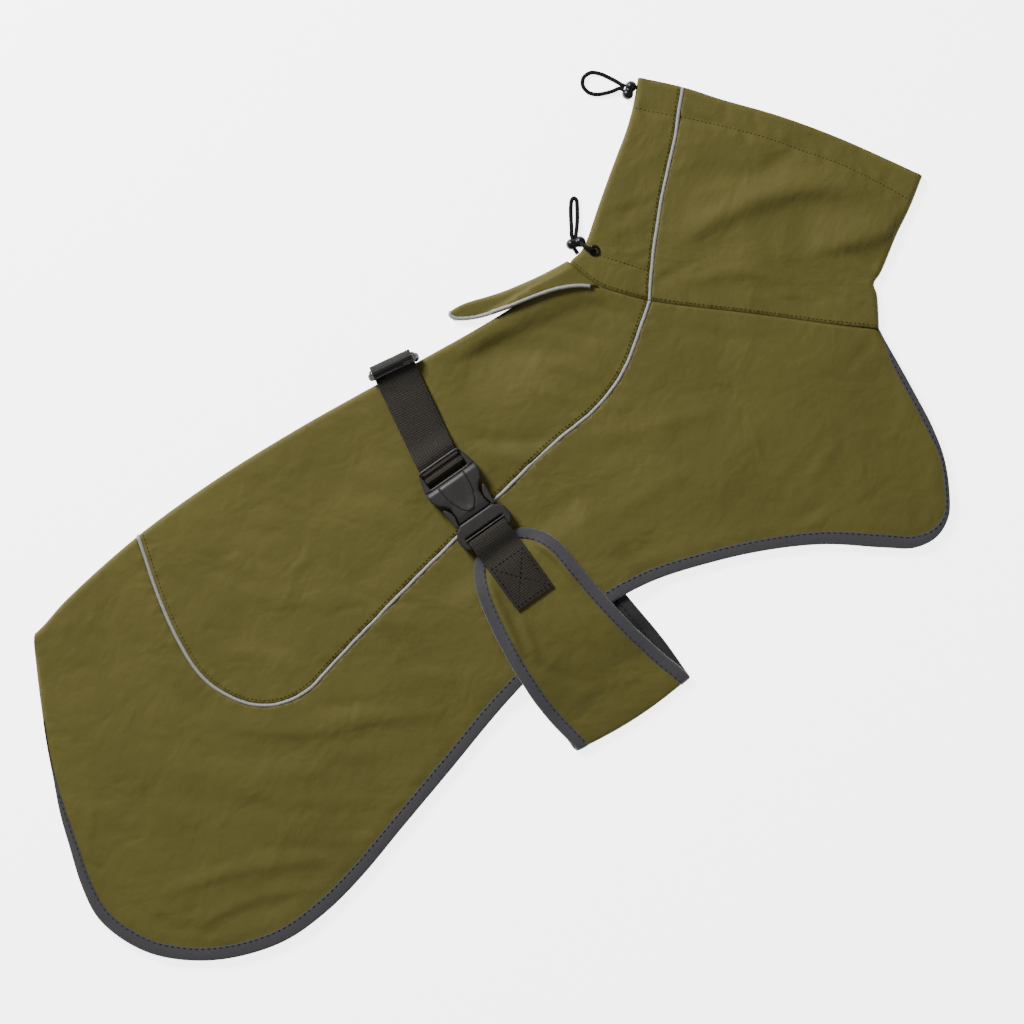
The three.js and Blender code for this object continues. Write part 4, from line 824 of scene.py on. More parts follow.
def moulded_plastic(name, dark, light, roughness, coat, specular):
    """Injection-moulded plastic: the eye gets a satin skin with a fine spark texture and soft highlights."""
    material, tree = new_finish(name)
    solid = add(tree, "ShaderNodeTexCoord").outputs["Object"]
    scuffs = add(tree, "ShaderNodeTexNoise", {
        "Vector": solid, "Scale": noise_scale(6.25), "Detail": 3.0})
    base = add(tree, "ShaderNodeMix", {
        0: scuffs.outputs["Fac"], 6: colour(dark), 7: colour(light)}, data_type="RGBA")
    spark = add(tree, "ShaderNodeTexNoise", {
        "Vector": solid, "Scale": noise_scale(0.7143), "Detail": 2.0})
    bump = add(tree, "ShaderNodeBump", {
        "Height": spark.outputs["Fac"], "Strength": 0.25, "Distance": 0.1 * MM})
    shader = add(tree, "ShaderNodeBsdfPrincipled", {
        "Base Color": base.outputs[2], "Roughness": roughness, "IOR": 1.48, "Coat Weight": coat,
        "Coat Roughness": 0.3, "Specular IOR Level": specular, "Normal": bump.outputs["Normal"]})
    add(tree, "ShaderNodeOutputMaterial", {"Surface": shader.outputs["BSDF"]})
    return material


def braided_cord():
    """Braided elastic cord: the eye gets two crossing sets of strands, paler on the strands, with painted
    shade in the gaps between them.
    """
    material, tree = new_finish("braided elastic cord")
    flat = add(tree, "ShaderNodeTexCoord").outputs["UV"]
    # The strands are drawn at 1.2 mm, wider than a real braid's, so that they show.
    waves = []
    for turn in (0.7, -0.7):
        turned = add(tree, "ShaderNodeMapping", {"Vector": flat, "Rotation": (0, 0, turn)})
        wave = add(tree, "ShaderNodeTexWave", {
            "Vector": turned.outputs["Vector"], "Scale": wave_scale(1.2)})
        waves.append(wave.outputs["Fac"])
    strands = add(tree, "ShaderNodeMath", {0: waves[0], 1: waves[1]}, operation="MAXIMUM")
    # Colour follows the strands' height: painted shade in the gaps, paler strands.
    base = add(tree, "ShaderNodeMix", {
        0: strands.outputs["Value"], 6: colour("070606"), 7: colour("1a1816")}, data_type="RGBA")
    bump = add(tree, "ShaderNodeBump", {
        "Height": strands.outputs["Value"], "Strength": 0.7, "Distance": 0.3 * MM})
    shader = add(tree, "ShaderNodeBsdfPrincipled", {
        "Base Color": base.outputs[2], "Roughness": 0.85, "Specular IOR Level": 0.08,
        "Normal": bump.outputs["Normal"]})
    add(tree, "ShaderNodeOutputMaterial", {"Surface": shader.outputs["BSDF"]})
    return material


def plain_floor():
    """Opal board lit from below: the eye gets an even near-white with a faint soft shadow."""
    material, tree = new_finish("opal light table")
    shader = add(tree, "ShaderNodeBsdfPrincipled", {
        "Base Color": colour("f7f7f7"), "Roughness": 0.9, "Specular IOR Level": 0.1,
        "Emission Color": colour("ffffff"), "Emission Strength": TABLE_GLOW})
    add(tree, "ShaderNodeOutputMaterial", {"Surface": shader.outputs["BSDF"]})
    return material


SHELL = coated_polyester()
# The trims' threads are drawn wider apart than real ones, so that the weave shows.
LINING = plain_cloth("woven polyester lining", "100f0f", "1b1a1a", pitch=1.3, roughness=0.75, sheen=0.1)
BINDING = plain_cloth("woven bias binding", "29282b", "363538", pitch=1.4, roughness=0.85, sheen=0.2)
PIPING = plain_cloth("reflective piping tape", "6a6966", "8b8985", pitch=1.0, roughness=0.5, sheen=0.0,
                     strength=0.3)
# The shell's thread is drawn darker than the cloth: painted shade of the stitch holes.
THREAD = plain_cloth("sewing thread", "28240f", "343016", pitch=0.6, roughness=0.9, sheen=0.0,
                     specular=0.05)
DARK_THREAD = plain_cloth("dark sewing thread", "0d0d0e", "161617", pitch=0.6, roughness=0.9, sheen=0.0,
                          specular=0.05)
WEBBING_FINISH = ribbed_webbing("ribbed polyester webbing", "1e1c18", "34312c")
# A darker copy of the webbing: painted shade where it wraps the slider's bar.
SHADED_WEBBING = ribbed_webbing("ribbed webbing darkened as painted shade in the slider", "060605", "12100f")
ACETAL = moulded_plastic("satin moulded acetal", "201e1d", "2a2827",
                         roughness=0.55, coat=0.05, specular=0.28)
GLOSSY_ACETAL = moulded_plastic("glossy moulded acetal", "0b0b0b", "151414",
                                roughness=0.45, coat=0.0, specular=0.1)
NYLON = moulded_plastic("black moulded nylon", "040404", "0a0a0a",
                        roughness=0.33, coat=0.0, specular=0.3)
CORD_FINISH = braided_cord()
CLOTH_FINISH = [SHELL, LINING]

# ---------------------------------------------------------------- camera, floor and light

VIEW_CENTRE = (396.3, -147.9, 6.0)
VIEW_TURN = -35  # the coat's back runs up to the right
VIEW_DISTANCE = 2440
SENSOR_WIDTH, LENS = 36, 100
FLOOR_HALF = 6.0  # in metres
FLOOR_DROP = 0.0002  # in metres: the floor is just below the coat, so that the two don't fight
# Lamps beside the middle of the view: name, right, up, height, size in metres, power.
LAMPS = [
    ("key", -1400, 1600, 1500, 0.8, 150),
    ("fill", 1500, -700, 2100, 2.4, 10),
]
WORLD_STRENGTH = 0.3


def make_camera():
    data = bpy.data.cameras.new("camera")
    data.sensor_width = SENSOR_WIDTH
    data.lens = LENS
    camera = linked("camera", data)
    x, y, z = VIEW_CENTRE
    camera.location = to_frame((x, y, z + VIEW_DISTANCE))
    camera.rotation_euler = (0, 0, math.radians(VIEW_TURN))
    bpy.context.scene.camera = camera


def in_view(right, up, height):
    """A place beside the middle of the view: to its right, towards its top, and above the floor."""
    c, s = cos_sin(VIEW_TURN)
    x, y, _ = VIEW_CENTRE
    return Vector(to_frame((x + right * c - up * s, y + right * s + up * c, height)))


def soft_light(name, place, size, power):
    data = bpy.data.lights.new(name, "AREA")
    data.shape = "DISK"
    data.size = size
    data.energy = power
    light = linked(name, data)
    light.location = place
    aim = in_view(0, 0, 0) - place
    light.rotation_euler = aim.to_track_quat("-Z", "Y").to_euler()


def make_stage():
    data = bpy.data.meshes.new("floor")
    corners = [(x * FLOOR_HALF, y * FLOOR_HALF, 0) for x, y in ((-1, -1), (1, -1), (1, 1), (-1, 1))]
    data.from_pydata(corners, [], [(0, 1, 2, 3)])
    data.materials.append(plain_floor())
    floor = linked("floor", data)
    floor.location = (0, 0, -FLOOR_DROP)
    for name, right, up, height, size, power in LAMPS:
        soft_light(name, in_view(right, up, height), size, power)
    world = bpy.data.worlds.new("studio")
    world.use_nodes = True
    around = world.node_tree.nodes["Background"].inputs
    around["Color"].default_value = (1, 1, 1, 1)
    around["Strength"].default_value = WORLD_STRENGTH
    bpy.context.scene.world = world


make_camera()
make_stage()

# ---------------------------------------------------------------- drawcords and cord locks

CORD_LEVEL = CORD_DIAMETER / 2 + 0.1  # a cord's middle where it lies on the floor
# Routes of the cords: x, y, z.
TOP_LOOP = [
    (682.5, 94.1, 4.65), (680.6, 97, 4), (674.6, 98.6, 2.4), (667.5, 101.2, CORD_LEVEL),
    (661.2, 104.6, CORD_LEVEL), (656.6, 110.4, CORD_LEVEL), (656.4, 117.6, CORD_LEVEL),
    (661, 122.6, CORD_LEVEL), (668.4, 122.4, CORD_LEVEL), (674.6, 116.6, CORD_LEVEL),
    (679, 109.2, 1.9), (682, 103, 3.2), (683.8, 98.6, 4.3), (685.3, 95.8, 4.65),
]
NECK_LOOP = [
    (573.6, 15.05, 4.65), (574.6, 17.6, 4.4), (577.9, 22.4, 3.3), (581.5, 28.2, 2.1),
    (585.4, 34.1, CORD_LEVEL), (588.9, 38.9, CORD_LEVEL), (592, 42.1, CORD_LEVEL),
    (594.8, 42.5, CORD_LEVEL), (595.4, 39.8, CORD_LEVEL), (593.2, 35.8, CORD_LEVEL),
    (590, 30.9, 1.7), (585.9, 25.1, 2.5), (581.4, 19.6, 3.6), (578, 15.9, 4.4),
    (576.6, 13.9, 4.65),
]
NECK_LEAD = [
    (577.1, 6.35, 8.85), (577, 5.2, 10.9), (577.6, 2.4, 12.9), (579.4, -1, 13.6),
    (581.3, -3.6, 12.9), (582.5, -5, 10.7),
]
NECK_TAIL = [(569.9, 6.3, 4.4), (569.8, 4.4, 3.9), (569.6, 1.1, 3.6)]


def make_cord(name, route, nodes):
    """A drawcord along its route."""
    path = spaced(smooth(route, 12 * len(route)), 0.8)
    cord = tube(name, path, CORD_DIAMETER / 2, [CORD_FINISH])
    part_of_coat(cord, "cord", *nodes)


LOCK_RADIUS, LOCK_WAIST = 4.85, 3.9
LOCK_TIP = 0.03  # radius where a ball ends, so that it closes


def make_lock(name, node, balls):
    """A sprung cord lock: body and button as two balls run together."""
    (ax, ay), (bx, by) = balls
    middle = np.array([(ax + bx) / 2, (ay + by) / 2, LOCK_RADIUS + 0.05])
    half = math.hypot(ax - bx, ay - by) / 2
    way = np.array([bx - ax, by - ay, 0]) / (2 * half)
    t = np.sin(np.linspace(-math.pi / 2, math.pi / 2, 41)) * (half + LOCK_RADIUS)
    radii = np.sqrt(np.maximum(LOCK_RADIUS ** 2 - (np.abs(t) - half) ** 2, LOCK_TIP ** 2))
    radii = np.where(np.abs(t) < half, np.maximum(radii, LOCK_WAIST), radii)
    lock = tube(name, middle + t[:, None] * way, radii, [NYLON], 24)
    return part_of_coat(lock, "cord_lock", node)


top_lock = make_lock("top_lock", "cord_lock_top", [(689.4, 92.7), (683.4, 89)])
neck_lock = make_lock("neck_lock", "cord_lock_neck", [(570, 11), (577.2, 8.6)])
make_cord("top_cord", TOP_LOOP, ["cord_top"])
neck_route = NECK_LEAD[::-1] + NECK_LOOP[::-1] + NECK_TAIL
make_cord("neck_cord", neck_route, ["cord_neck", "cord_neck_lead", "cord_neck_tail"])

# ---------------------------------------------------------------- body
# The next functions give distances of points in plan from the panels' lines, each above 0 on one side.


def reach_of(p):
    """How far the points lie inside the back line."""
    return back_line(p[:, 0]) - p[:, 1]


def neck_of(p):
    """How far they lie on the collar's side of the neck seam."""
    return near_line(p, NECK_LINE)[0]


def seam_of(p):
    """How far they lie on the saddle's side of its seam."""
    return near_line(p, SEAM_LINE)[0]


def hem_of(p):
    """How far they lie inside the hem."""
    return near_line(p, HEM_LINE)[0]


def collar_seam_of(p):
    """How far they lie on the nape's side of the collar's seam."""
    return near_line(p, COLLAR_SEAM_LINE)[0]


def under_top_of(p):
    """How far they lie below the collar's top edge."""
    return -near_line(p, COLLAR_TOP_LINE)[0]


def behind_neck(p):
    """Above 0 on the body: inside the back line and behind the neck seam."""
    return np.minimum(reach_of(p), -neck_of(p) - HALF_GAP)


def body_relief(plan):
    """Creases and seams of the near half, and its edge where it curls under at the hem."""
    relief = creases(plan, CREASES) + seam_relief(plan)
    distance, along = near_line(plan, HEM_LINE)
    bound = np.interp(along, HEM_LENGTHS, HEM_BOUND)
    curled = np.clip(1 - bound / 4, 0, 1)
    relief -= 2.2 * curled * hill(np.maximum(distance, 0), 2.2)
    # the cloth swells a little where it comes out from under the binding
    relief += 0.35 * (1 - curled) * hill(distance - bound - 7, 6)
    return relief


def body_face(points, relief=True):
    """Outer face of the body's cloth. A point is x and its girth, above 0 on the near side."""
    x, u = points.T
    reach = reach_at(u)
    y = back_line(x) - reach
    near = near_top(x, y, np.maximum(reach, FOLD_RADIUS))
    if relief:
        near = near + body_relief(np.stack([x, y], axis=1)) * smoothstep(reach, FOLD_RADIUS, 22)
    z = over_fold(u, near, lift(x, y), lift(x, back_line(x) - FOLD_RADIUS))
    return np.stack([x, y, z], axis=1)


def body_map(plan):
    """The body's flat map: x, and girth from the fold."""
    return np.stack([plan[:, 0], girth(reach_of(plan))], axis=1)


def joined(*chains):
    """One closed loop from chains, without doubled points."""
    line = np.vstack(chains)
    apart = np.linalg.norm(line - np.roll(line, 1, axis=0), axis=1) > 0.25
    return line[apart]


def mirrored(chain):
    """A chain of the flat map on the other side of the fold."""
    return chain[::-1] * np.array([1, -1])


def two_sided_grid(loop):
    """Points over a panel's map: close ones on the near side, wide ones on the far side."""
    low, high = loop.min(axis=0), loop.max(axis=0)
    parts = []
    if high[1] > 1:
        parts.append(grid_over((low[0], max(low[1], -6)), high, NEAR_STEP))
    if low[1] < -1:
        parts.append(grid_over(low, (high[0], min(high[1], -9)), FAR_STEP))
    return np.vstack(parts)


TRIMS = {}  # the pieces sewn to each sheet, by its name


def make_sheet(name, node, loop, grid, clear, face, thickness):
    """A cloth piece: its flat outline is filled, laid on its face, and given its wall."""
    points, faces = fill([loop], grid, clear)
    place = face(points)
    a, b, c = (place[faces[:, k]] for k in range(3))
    side = points[faces].mean(axis=1)[:, 1]
    if (np.cross(b - a, c - a)[:, 2] * np.sign(side)).sum() < 0:
        faces = faces[:, ::-1]
    piece = thicken(make_object(name, place, faces, CLOTH_FINISH, points), thickness)
    part_of_coat(piece, "shell", node)


def make_panel(name, node, loop, face):
    """A sheet of the coat's padded cloth."""
    make_sheet(name, node, loop, two_sided_grid(loop), NEAR_STEP / 2, face, CLOTH)


def flank_chains(bound):
    """The flank's lines on the near side: hem, neck, seam. bound is the binding's width along the hem."""
    hem = keep(move_left(HEM_LINE, np.maximum(bound - IN_BINDING, 0)), behind_neck)
    neck = keep(move_left(NECK_LINE, -HALF_GAP),
                lambda p: np.minimum(-seam_of(p) - SEAM_CLEAR, hem_of(p) - 1.1))
    seam = keep(move_left(SEAM_LINE, -SEAM_CLEAR), behind_neck)
    return [spaced(chain, CHAIN_STEP) for chain in (hem, neck[::-1], seam[::-1])]


def make_body():
    seam = spaced(keep(move_left(SEAM_LINE, SEAM_CLEAR), behind_neck), CHAIN_STEP)
    neck = keep(move_left(NECK_LINE, -HALF_GAP), lambda p: np.minimum(reach_of(p), seam_of(p) - SEAM_CLEAR))
    near = body_map(np.vstack([seam, spaced(neck, CHAIN_STEP)[::-1]]))
    make_panel("saddle_cloth", "saddle", joined(near, mirrored(near)), body_face)
    near_bound = HEM_BOUND * (HEM_ROW > 3.2)  # the binding shows from this row of the hem's table on
    far_bound = BINDING_WIDTH * smoothstep(HEM_ROW, 0.6, 2.6)
    for side, sign, bound, rests_on in (
            ("near", 1, near_bound, "flank_far"), ("far", -1, far_bound, "floor")):
        chains = [body_map(chain) for chain in flank_chains(bound)]
        # The two flanks meet along the fold, each this far from its middle.
        to_middle = 0.15
        steps = np.linspace(chains[2][-1, 0], chains[0][0, 0], 40)[:, None]
        fold = np.hstack([steps, np.full_like(steps, to_middle)])
        loop = joined(*chains, fold)
        loop[:, 1] = np.maximum(loop[:, 1], to_middle) * sign
        make_panel(f"flank_{side}_cloth", f"flank_{side}", loop, body_face)


# ---------------------------------------------------------------- collar

NAPES = smooth(COLLAR[:, :2], 80)
THROATS = smooth(COLLAR[:, 2:], 80)
RUNG_STEP = 2.35  # mean distance between two rungs, so that the collar's map has the right length


def rung(a):
    """Nape, throat and width of the collar at a place along it, by rung number."""
    k = np.arange(len(NAPES))
    before, after = np.minimum(a, 0), np.maximum(a - k[-1], 0)

    def at(values):
        past_ends = (values[1] - values[0]) * before + (values[-1] - values[-2]) * after
        return np.interp(a, k, values) + past_ends

    nape, throat = (np.stack([at(ends[:, 0]), at(ends[:, 1])], axis=1) for ends in (NAPES, THROATS))
    across = throat - nape
    width = np.linalg.norm(across, axis=1)
    return nape, throat, across / width[:, None], width


def collar_place(plan):
    """Rung number and reach from the nape of points in plan."""
    numbers = np.arange(len(NAPES))
    nape, _, inward, _ = rung(numbers.astype(float))
    side = (inward[None, :, 0] * (plan[:, None, 1] - nape[None, :, 1])
            - inward[None, :, 1] * (plan[:, None, 0] - nape[None, :, 0]))
    above = side > 0
    k = np.clip(above.sum(axis=1) - 1, 0, len(NAPES) - 2)
    row = np.arange(len(plan))
    one, two = side[row, k], side[row, k + 1]
    a = k + one / (one - two)
    nape, _, inward, width = rung(a)
    return a, ((plan - nape) * inward).sum(axis=1), width


def collar_relief(plan):
    """Creases, seams and the drawcord's tunnels of the near half."""
    return creases(plan, CREASES) + seam_relief(plan) + tunnel_relief(plan)


# The stitched lines that hold the drawcords' tunnels: along the top, and beside the neck seam.
TUNNEL = smooth([(680, 77), (694, 62), (709, 47), (733, 21), (756, -6), (777, -35), (798, -65),
                 (817, -99), (830, -127)], 60)
CHANNEL = smooth([(584, -11), (598, -29), (612, -47)], 20)


def tunnel_relief(plan):
    """The drawcord's tunnel along the top: a shallow roll between its stitches and the edge."""
    distance, along = near_line(plan, TUNNEL)
    edge, _ = near_line(plan, COLLAR_TOP_LINE)
    wave = np.sin(along / 4.1 + 1.5 * np.sin(along / 19)) + 0.8 * np.sin(along / 2.3 + distance / 5)
    roll = 0.22 * wave * hill(np.abs(distance) - 4, 5) - 0.7 * hill(distance, 2.6) - 1.2 * hill(edge, 2.4)
    channel, _ = near_line(plan, CHANNEL)
    return roll - 0.4 * hill(channel, 2.4)


def collar_face(points, from_nape):
    """Outer face of the collar. A point is its place along the collar and its girth from a fold."""
    a, u = points[:, 0] / RUNG_STEP, points[:, 1]
    nape, throat, inward, width = rung(a)
    edge, inward = (nape, inward) if from_nape else (throat, -inward)
    reach = reach_at(u)
    plan = edge + inward * reach[:, None]
    fold = edge + inward * FOLD_RADIUS
    closest = np.maximum(np.minimum(reach, width - reach), FOLD_RADIUS)
    near = near_top(*plan.T, closest) + collar_relief(plan) * smoothstep(closest, FOLD_RADIUS, 9)
    z = over_fold(u, near, lift(*plan.T), lift(*fold.T))
    return np.column_stack([plan, z])


def collar_map(plan, from_nape):
    """The collar's flat map: place along it, and girth from its fold at the nape or at the throat."""
    a, reach, width = collar_place(plan)
    return np.stack([a * RUNG_STEP, girth(reach if from_nape else width - reach)], axis=1)


def nape_of(p):
    """How far they lie inside the collar's fold at the nape."""
    return collar_place(p)[1]


def throat_of(p):
    """How far they lie inside its fold at the throat."""
    _, reach, width = collar_place(p)
    return width - reach


def make_collar():
    for part, from_nape, sign, edge_of in (("back", True, 1, nape_of), ("front", False, -1, throat_of)):
        def within(p, sign=sign, edge_of=edge_of):
            return np.minimum(sign * collar_seam_of(p) - SEAM_CLEAR, edge_of(p))

        neck = keep(move_left(NECK_LINE, HALF_GAP), within)
        top = keep(COLLAR_TOP_LINE, within)
        seam = keep(move_left(COLLAR_SEAM_LINE, sign * SEAM_CLEAR),
                    lambda p: np.minimum(neck_of(p) - HALF_GAP, under_top_of(p)))
        chains = [neck, seam, top[::-1]] if from_nape else [neck[::-1], seam, top]
        near = np.vstack([collar_map(spaced(chain, CHAIN_STEP), from_nape) for chain in chains])
        make_panel(f"collar_{part}_cloth", f"collar_{part}", joined(near, mirrored(near)),
                   lambda p, end=from_nape: collar_face(p, end))


# ---------------------------------------------------------------- piping and binding

PIPING_STEP = 1.6
NEAR_HEM_FROM, FAR_HEM_FROM = 3.4, 1.2  # rows of the hem's table where the bindings begin


def trim(piece, slot_name, sheet_name, *nodes):
    """A sewn-on piece: it rides with the coat and goes with the cloth that it is sewn to."""
    TRIMS.setdefault(sheet_name, []).append(part_of_coat(piece, slot_name, *nodes))


def round_the_fold(chain, face, sink_near, sink_far):
    """A path along a map line, inside the outer face, from the near side round to the far side."""
    whole = spaced(np.vstack([chain, mirrored(chain)[1:]]), PIPING_STEP)
    place = face(whole)
    near, far = smoothstep(whole[:, 1], 0, 7), smoothstep(-whole[:, 1], 0, 7)
    place[:, 2] += far * sink_far - near * sink_near
    place[:, 1] -= (1 - near - far) * sink_near
    return place


def make_piping():
    chain = body_map(keep(SEAM_LINE, lambda p: np.minimum(reach_of(p), -neck_of(p) - 0.2)))[::-1]
    path = round_the_fold(chain, lambda p: body_face(p, False), PIPING_SINK, PIPING_RADIUS)
    along = lengths(path)
    path[:, 1] += 0.14 * np.sin(along / 6.7) + 0.1 * np.sin(along / 3.1)
    bead = tube("saddle_piping_bead", path, PIPING_RADIUS, [PIPING])
    trim(bead, "piping", "saddle_cloth", "saddle_piping")
    in_collar = lambda p: np.minimum(neck_of(p) - 0.2, under_top_of(p) - 0.4)
    line = spaced(keep(COLLAR_SEAM_LINE, in_collar), PIPING_STEP)
    _, reach, width = collar_place(line)
    high = near_top(*line.T, np.minimum(reach, width - reach)) - PIPING_SINK
    low = lift(*line.T) + PIPING_RADIUS
    line = move_left(line, 0.12 * np.sin(lengths(line) / 6.1))
    for side, z in (("near", high), ("far", low)):
        bead = tube(f"collar_piping_bead_{side}", np.column_stack([line, z]), PIPING_RADIUS, [PIPING])
        trim(bead, "piping", "collar_back_cloth", f"collar_piping_{side}")


# Cross-section of a binding: across its width, and from its outer face down to its inner one.
BINDING_RING = [
    (0, 0.5), (0.02, 0.24), (0.07, 0.07), (0.16, 0.0), (0.5, -0.05), (0.84, 0.0), (0.93, 0.07),
    (0.98, 0.24), (1, 0.5), (0.98, 0.8), (0.9, 1.0), (0.1, 1.0), (0.02, 0.8),
]


def bound_edge(name, outer_line, inner_line, top, bottom, finish):
    """A folded tape over a cloth edge, between two lines in plan; top and bottom give its heights there."""
    sections, uv = [], []
    s = lengths(outer_line)
    for across, down in BINDING_RING:
        plan = mix(outer_line, inner_line, across)
        z = mix(mix(top[0], top[1], across), mix(bottom[0], bottom[1], across), down)
        sections.append(np.column_stack([plan, z]))
        uv.append(np.stack([s, np.full_like(s, across * BINDING_WIDTH + down * 3)], axis=1))
    return strip(name, np.stack(sections, axis=1), [finish], np.stack(uv, axis=1))

def make_hem_binding():
    k = np.arange(len(HEM_LINE))
    s = np.linspace(0, k[-1], int(HEM_LENGTHS[-1] / 3.2))
    outer = np.stack([np.interp(s, k, HEM_LINE[:, 0]), np.interp(s, k, HEM_LINE[:, 1])], axis=1)
    bound, rows = np.interp(s, k, HEM_BOUND), np.interp(s, k, HEM_ROW)
    along = lengths(outer)
    ripple = 0.25 * np.sin(along / 9.0 + 2 * np.sin(along / 37)) + 0.15 * np.sin(along / 4.3)
    inner = move_left(outer, np.maximum(bound, 0.7))
    at_edge, at_inner = (
        near_top(*edge.T, np.maximum(reach_of(edge), FOLD_RADIUS)) + creases(edge, CREASES)
        for edge in (outer, inner))
    curled = np.clip(1 - bound / 5, 0, 1)
    top = [at_edge + BINDING_SWELL - 1.4 * curled + 0.5 * ripple, at_inner + BINDING_SWELL - 0.8 * curled]
    bottom = [at_edge - CLOTH - 0.6 * curled, at_inner - CLOTH]
    shown = rows > NEAR_HEM_FROM
    piece = bound_edge("hem_binding_near_tape", outer[shown], inner[shown],
                       [t[shown] for t in top], [b[shown] for b in bottom], BINDING)
    trim(piece, "binding", "flank_near_cloth", "hem_binding_near")
    inner = move_left(outer, np.maximum(BINDING_WIDTH * smoothstep(rows, 0.6, 2.6), 1.5))
    shown = rows > FAR_HEM_FROM
    # The far half's outer face is below, so its ring runs from the floor up.
    ground = [lift(*line.T)[shown] for line in (outer, inner)]
    piece = bound_edge("hem_binding_far_tape", outer[shown], inner[shown],
                       ground, [g + CLOTH + BINDING_SWELL for g in ground], BINDING)
    trim(piece, "binding", "flank_far_cloth", "hem_binding_far")


# ---------------------------------------------------------------- flap over the lead slot

FLAP_LINE = smooth(FLAP, 120)
FLAP_STEP = 2.0
# Round the flap's tip, from its fold to its free edge: x beyond the tip, y. The cloth, then the piping.
FLAP_TIP_CLOTH = [(1.6, 20.8), (1.9, 18.6)]
FLAP_TIP_PIPING = [(2.9, 17.4), (1.9, 19.0), (1.6, 20.6), (2.1, 22.1)]


def flap_fold(x):
    """y of the flap's own fold."""
    return np.interp(x, FLAP_LINE[:, 0], FLAP_LINE[:, 1])


def flap_edge(x):
    """y of its free edge."""
    return np.interp(x, FLAP_LINE[:, 0], FLAP_LINE[:, 2])


def flap_radius(x):
    """Outside radius of its fold."""
    return mix(FLAP_TIP_RADIUS, FLAP_NECK_RADIUS, smoothstep(x, 455, 540))


def flap_top(x, y, reach, radius):
    """Top of its near layer: free beyond the back line, and over the saddle standing off it."""
    rested = body_top(x, y) + GAP + FLAP_CLOTH + FLAP_STAND * (1 - smoothstep(x, 548, 572))
    over = smoothstep(back_line(x) - y, -9, 1)
    free = 2 * radius - 0.4 * (1 - hill(reach - radius, 12))
    return np.maximum(mix(free, rested, over), np.where(over > 0.3, rested, 0))


def flap_face(points):
    """Outer face of the flap. A point is x and its girth from its own fold."""
    x, u = points.T
    radius = flap_radius(x)
    reach = reach_at(u, radius)
    y = flap_fold(x) - reach
    near = flap_top(x, y, reach, radius)
    near = near + 0.35 * np.sin(x / 13) * smoothstep(reach, radius, radius + 8)
    z = over_fold(u, near, 0, radius=radius)
    return np.stack([x, y, z], axis=1)


def make_flap():
    x = np.linspace(FLAP_TIP + 2.6, 562, 60)
    before_neck = lambda p: -neck_of(p) - GAP
    edge = keep(np.stack([x, flap_edge(x) + FLAP_INSET], axis=1), before_neck)
    tip = np.array([(FLAP_TIP + 2.2, flap_fold(452.0)), *((FLAP_TIP + dx, y) for dx, y in FLAP_TIP_CLOTH)])
    neck = keep(move_left(NECK_LINE, -GAP), lambda p: np.minimum(
        flap_fold(p[:, 0]) - p[:, 1], p[:, 1] - flap_edge(p[:, 0]) - FLAP_INSET))
    chain = spaced(np.vstack([tip, edge, neck[::-1][1:]]), FLAP_STEP * 0.7)
    around = girth(flap_fold(chain[:, 0]) - chain[:, 1], flap_radius(chain[:, 0]))
    near = np.stack([chain[:, 0], around], axis=1)
    loop = joined(near, mirrored(near))
    make_sheet("lead_flap_cloth", "lead_flap", loop, grid_over(loop.min(axis=0), loop.max(axis=0), FLAP_STEP),
               0.8, flap_face, FLAP_CLOTH)
    # The piping runs along the free edge, over the tip and back along the far edge.
    line = spaced(keep(np.stack([x, flap_edge(x) + FLAP_PIPING_RADIUS], axis=1), before_neck), 1.2)
    reach, radius = flap_fold(line[:, 0]) - line[:, 1], flap_radius(line[:, 0])
    top = flap_top(*line.T, np.maximum(reach, radius), radius)
    near = np.column_stack([line, top - FLAP_CLOTH / 2 + 0.2])
    far = np.column_stack([line, np.full(len(line), FLAP_PIPING_RADIUS)])
    round_tip = np.array(FLAP_TIP_PIPING) + np.array([FLAP_TIP, 0])
    level = near[0, 2]
    bend = np.vstack([np.column_stack([round_tip, np.full(4, level)]),
                      (FLAP_TIP + 3.2, 22.9, level / 2 + 1),
                      np.column_stack([round_tip[::-1], np.full(4, FLAP_PIPING_RADIUS)])])
    path = spaced(smooth(np.vstack([near[::-1][::3], bend, far[::3]]), 260), 1.2)
    path[:, 2] = np.maximum(path[:, 2], FLAP_PIPING_RADIUS)
    bead = tube("flap_piping_bead", path, FLAP_PIPING_RADIUS, [PIPING])
    trim(bead, "piping", "lead_flap_cloth", "flap_piping")


# ---------------------------------------------------------------- belly band


def band_near_floor(x, y):
    """What the band's upper layer lies on: the coat, and further down its own fold."""
    on_coat = body_top(x, y) + BINDING_SWELL + GAP
    return mix(on_coat, 2 * BAND_FOLD_RADIUS - CLOTH, smoothstep(-y, 258, 336))


def band_far_floor(y):
    """What its lower layer lies on: the far half, and further down the floor."""
    held = CLOTH + GAP + BINDING_SWELL * smoothstep(-y, 232, 246)
    return mix(held, 0, smoothstep(-y, 279, 300))


def band_rows():
    """Rows over the band, from its top end over the coat, round its fold and back up inside the coat.
    Each has y, x of its rear and its front edge, its turn round the fold in degrees, and its layer:
    1 on top, 0 in the fold, -1 below."""
    near = smooth(BAND_NEAR, 66)
    far = smooth(BAND_FAR, 40)
    rows = [(*row, None, 1) for row in near]
    for degrees in np.linspace(84, -84, 15):
        share = (90 - degrees) / 180
        left, right = mix(near[-1][1] + 2, far[0][1], share), mix(near[-1][2] + 2.5, far[0][2], share)
        rows.append((BAND_FOLD_Y, left, right, degrees, 0))
    rows += [(*row, None, -1) for row in far]
    return rows


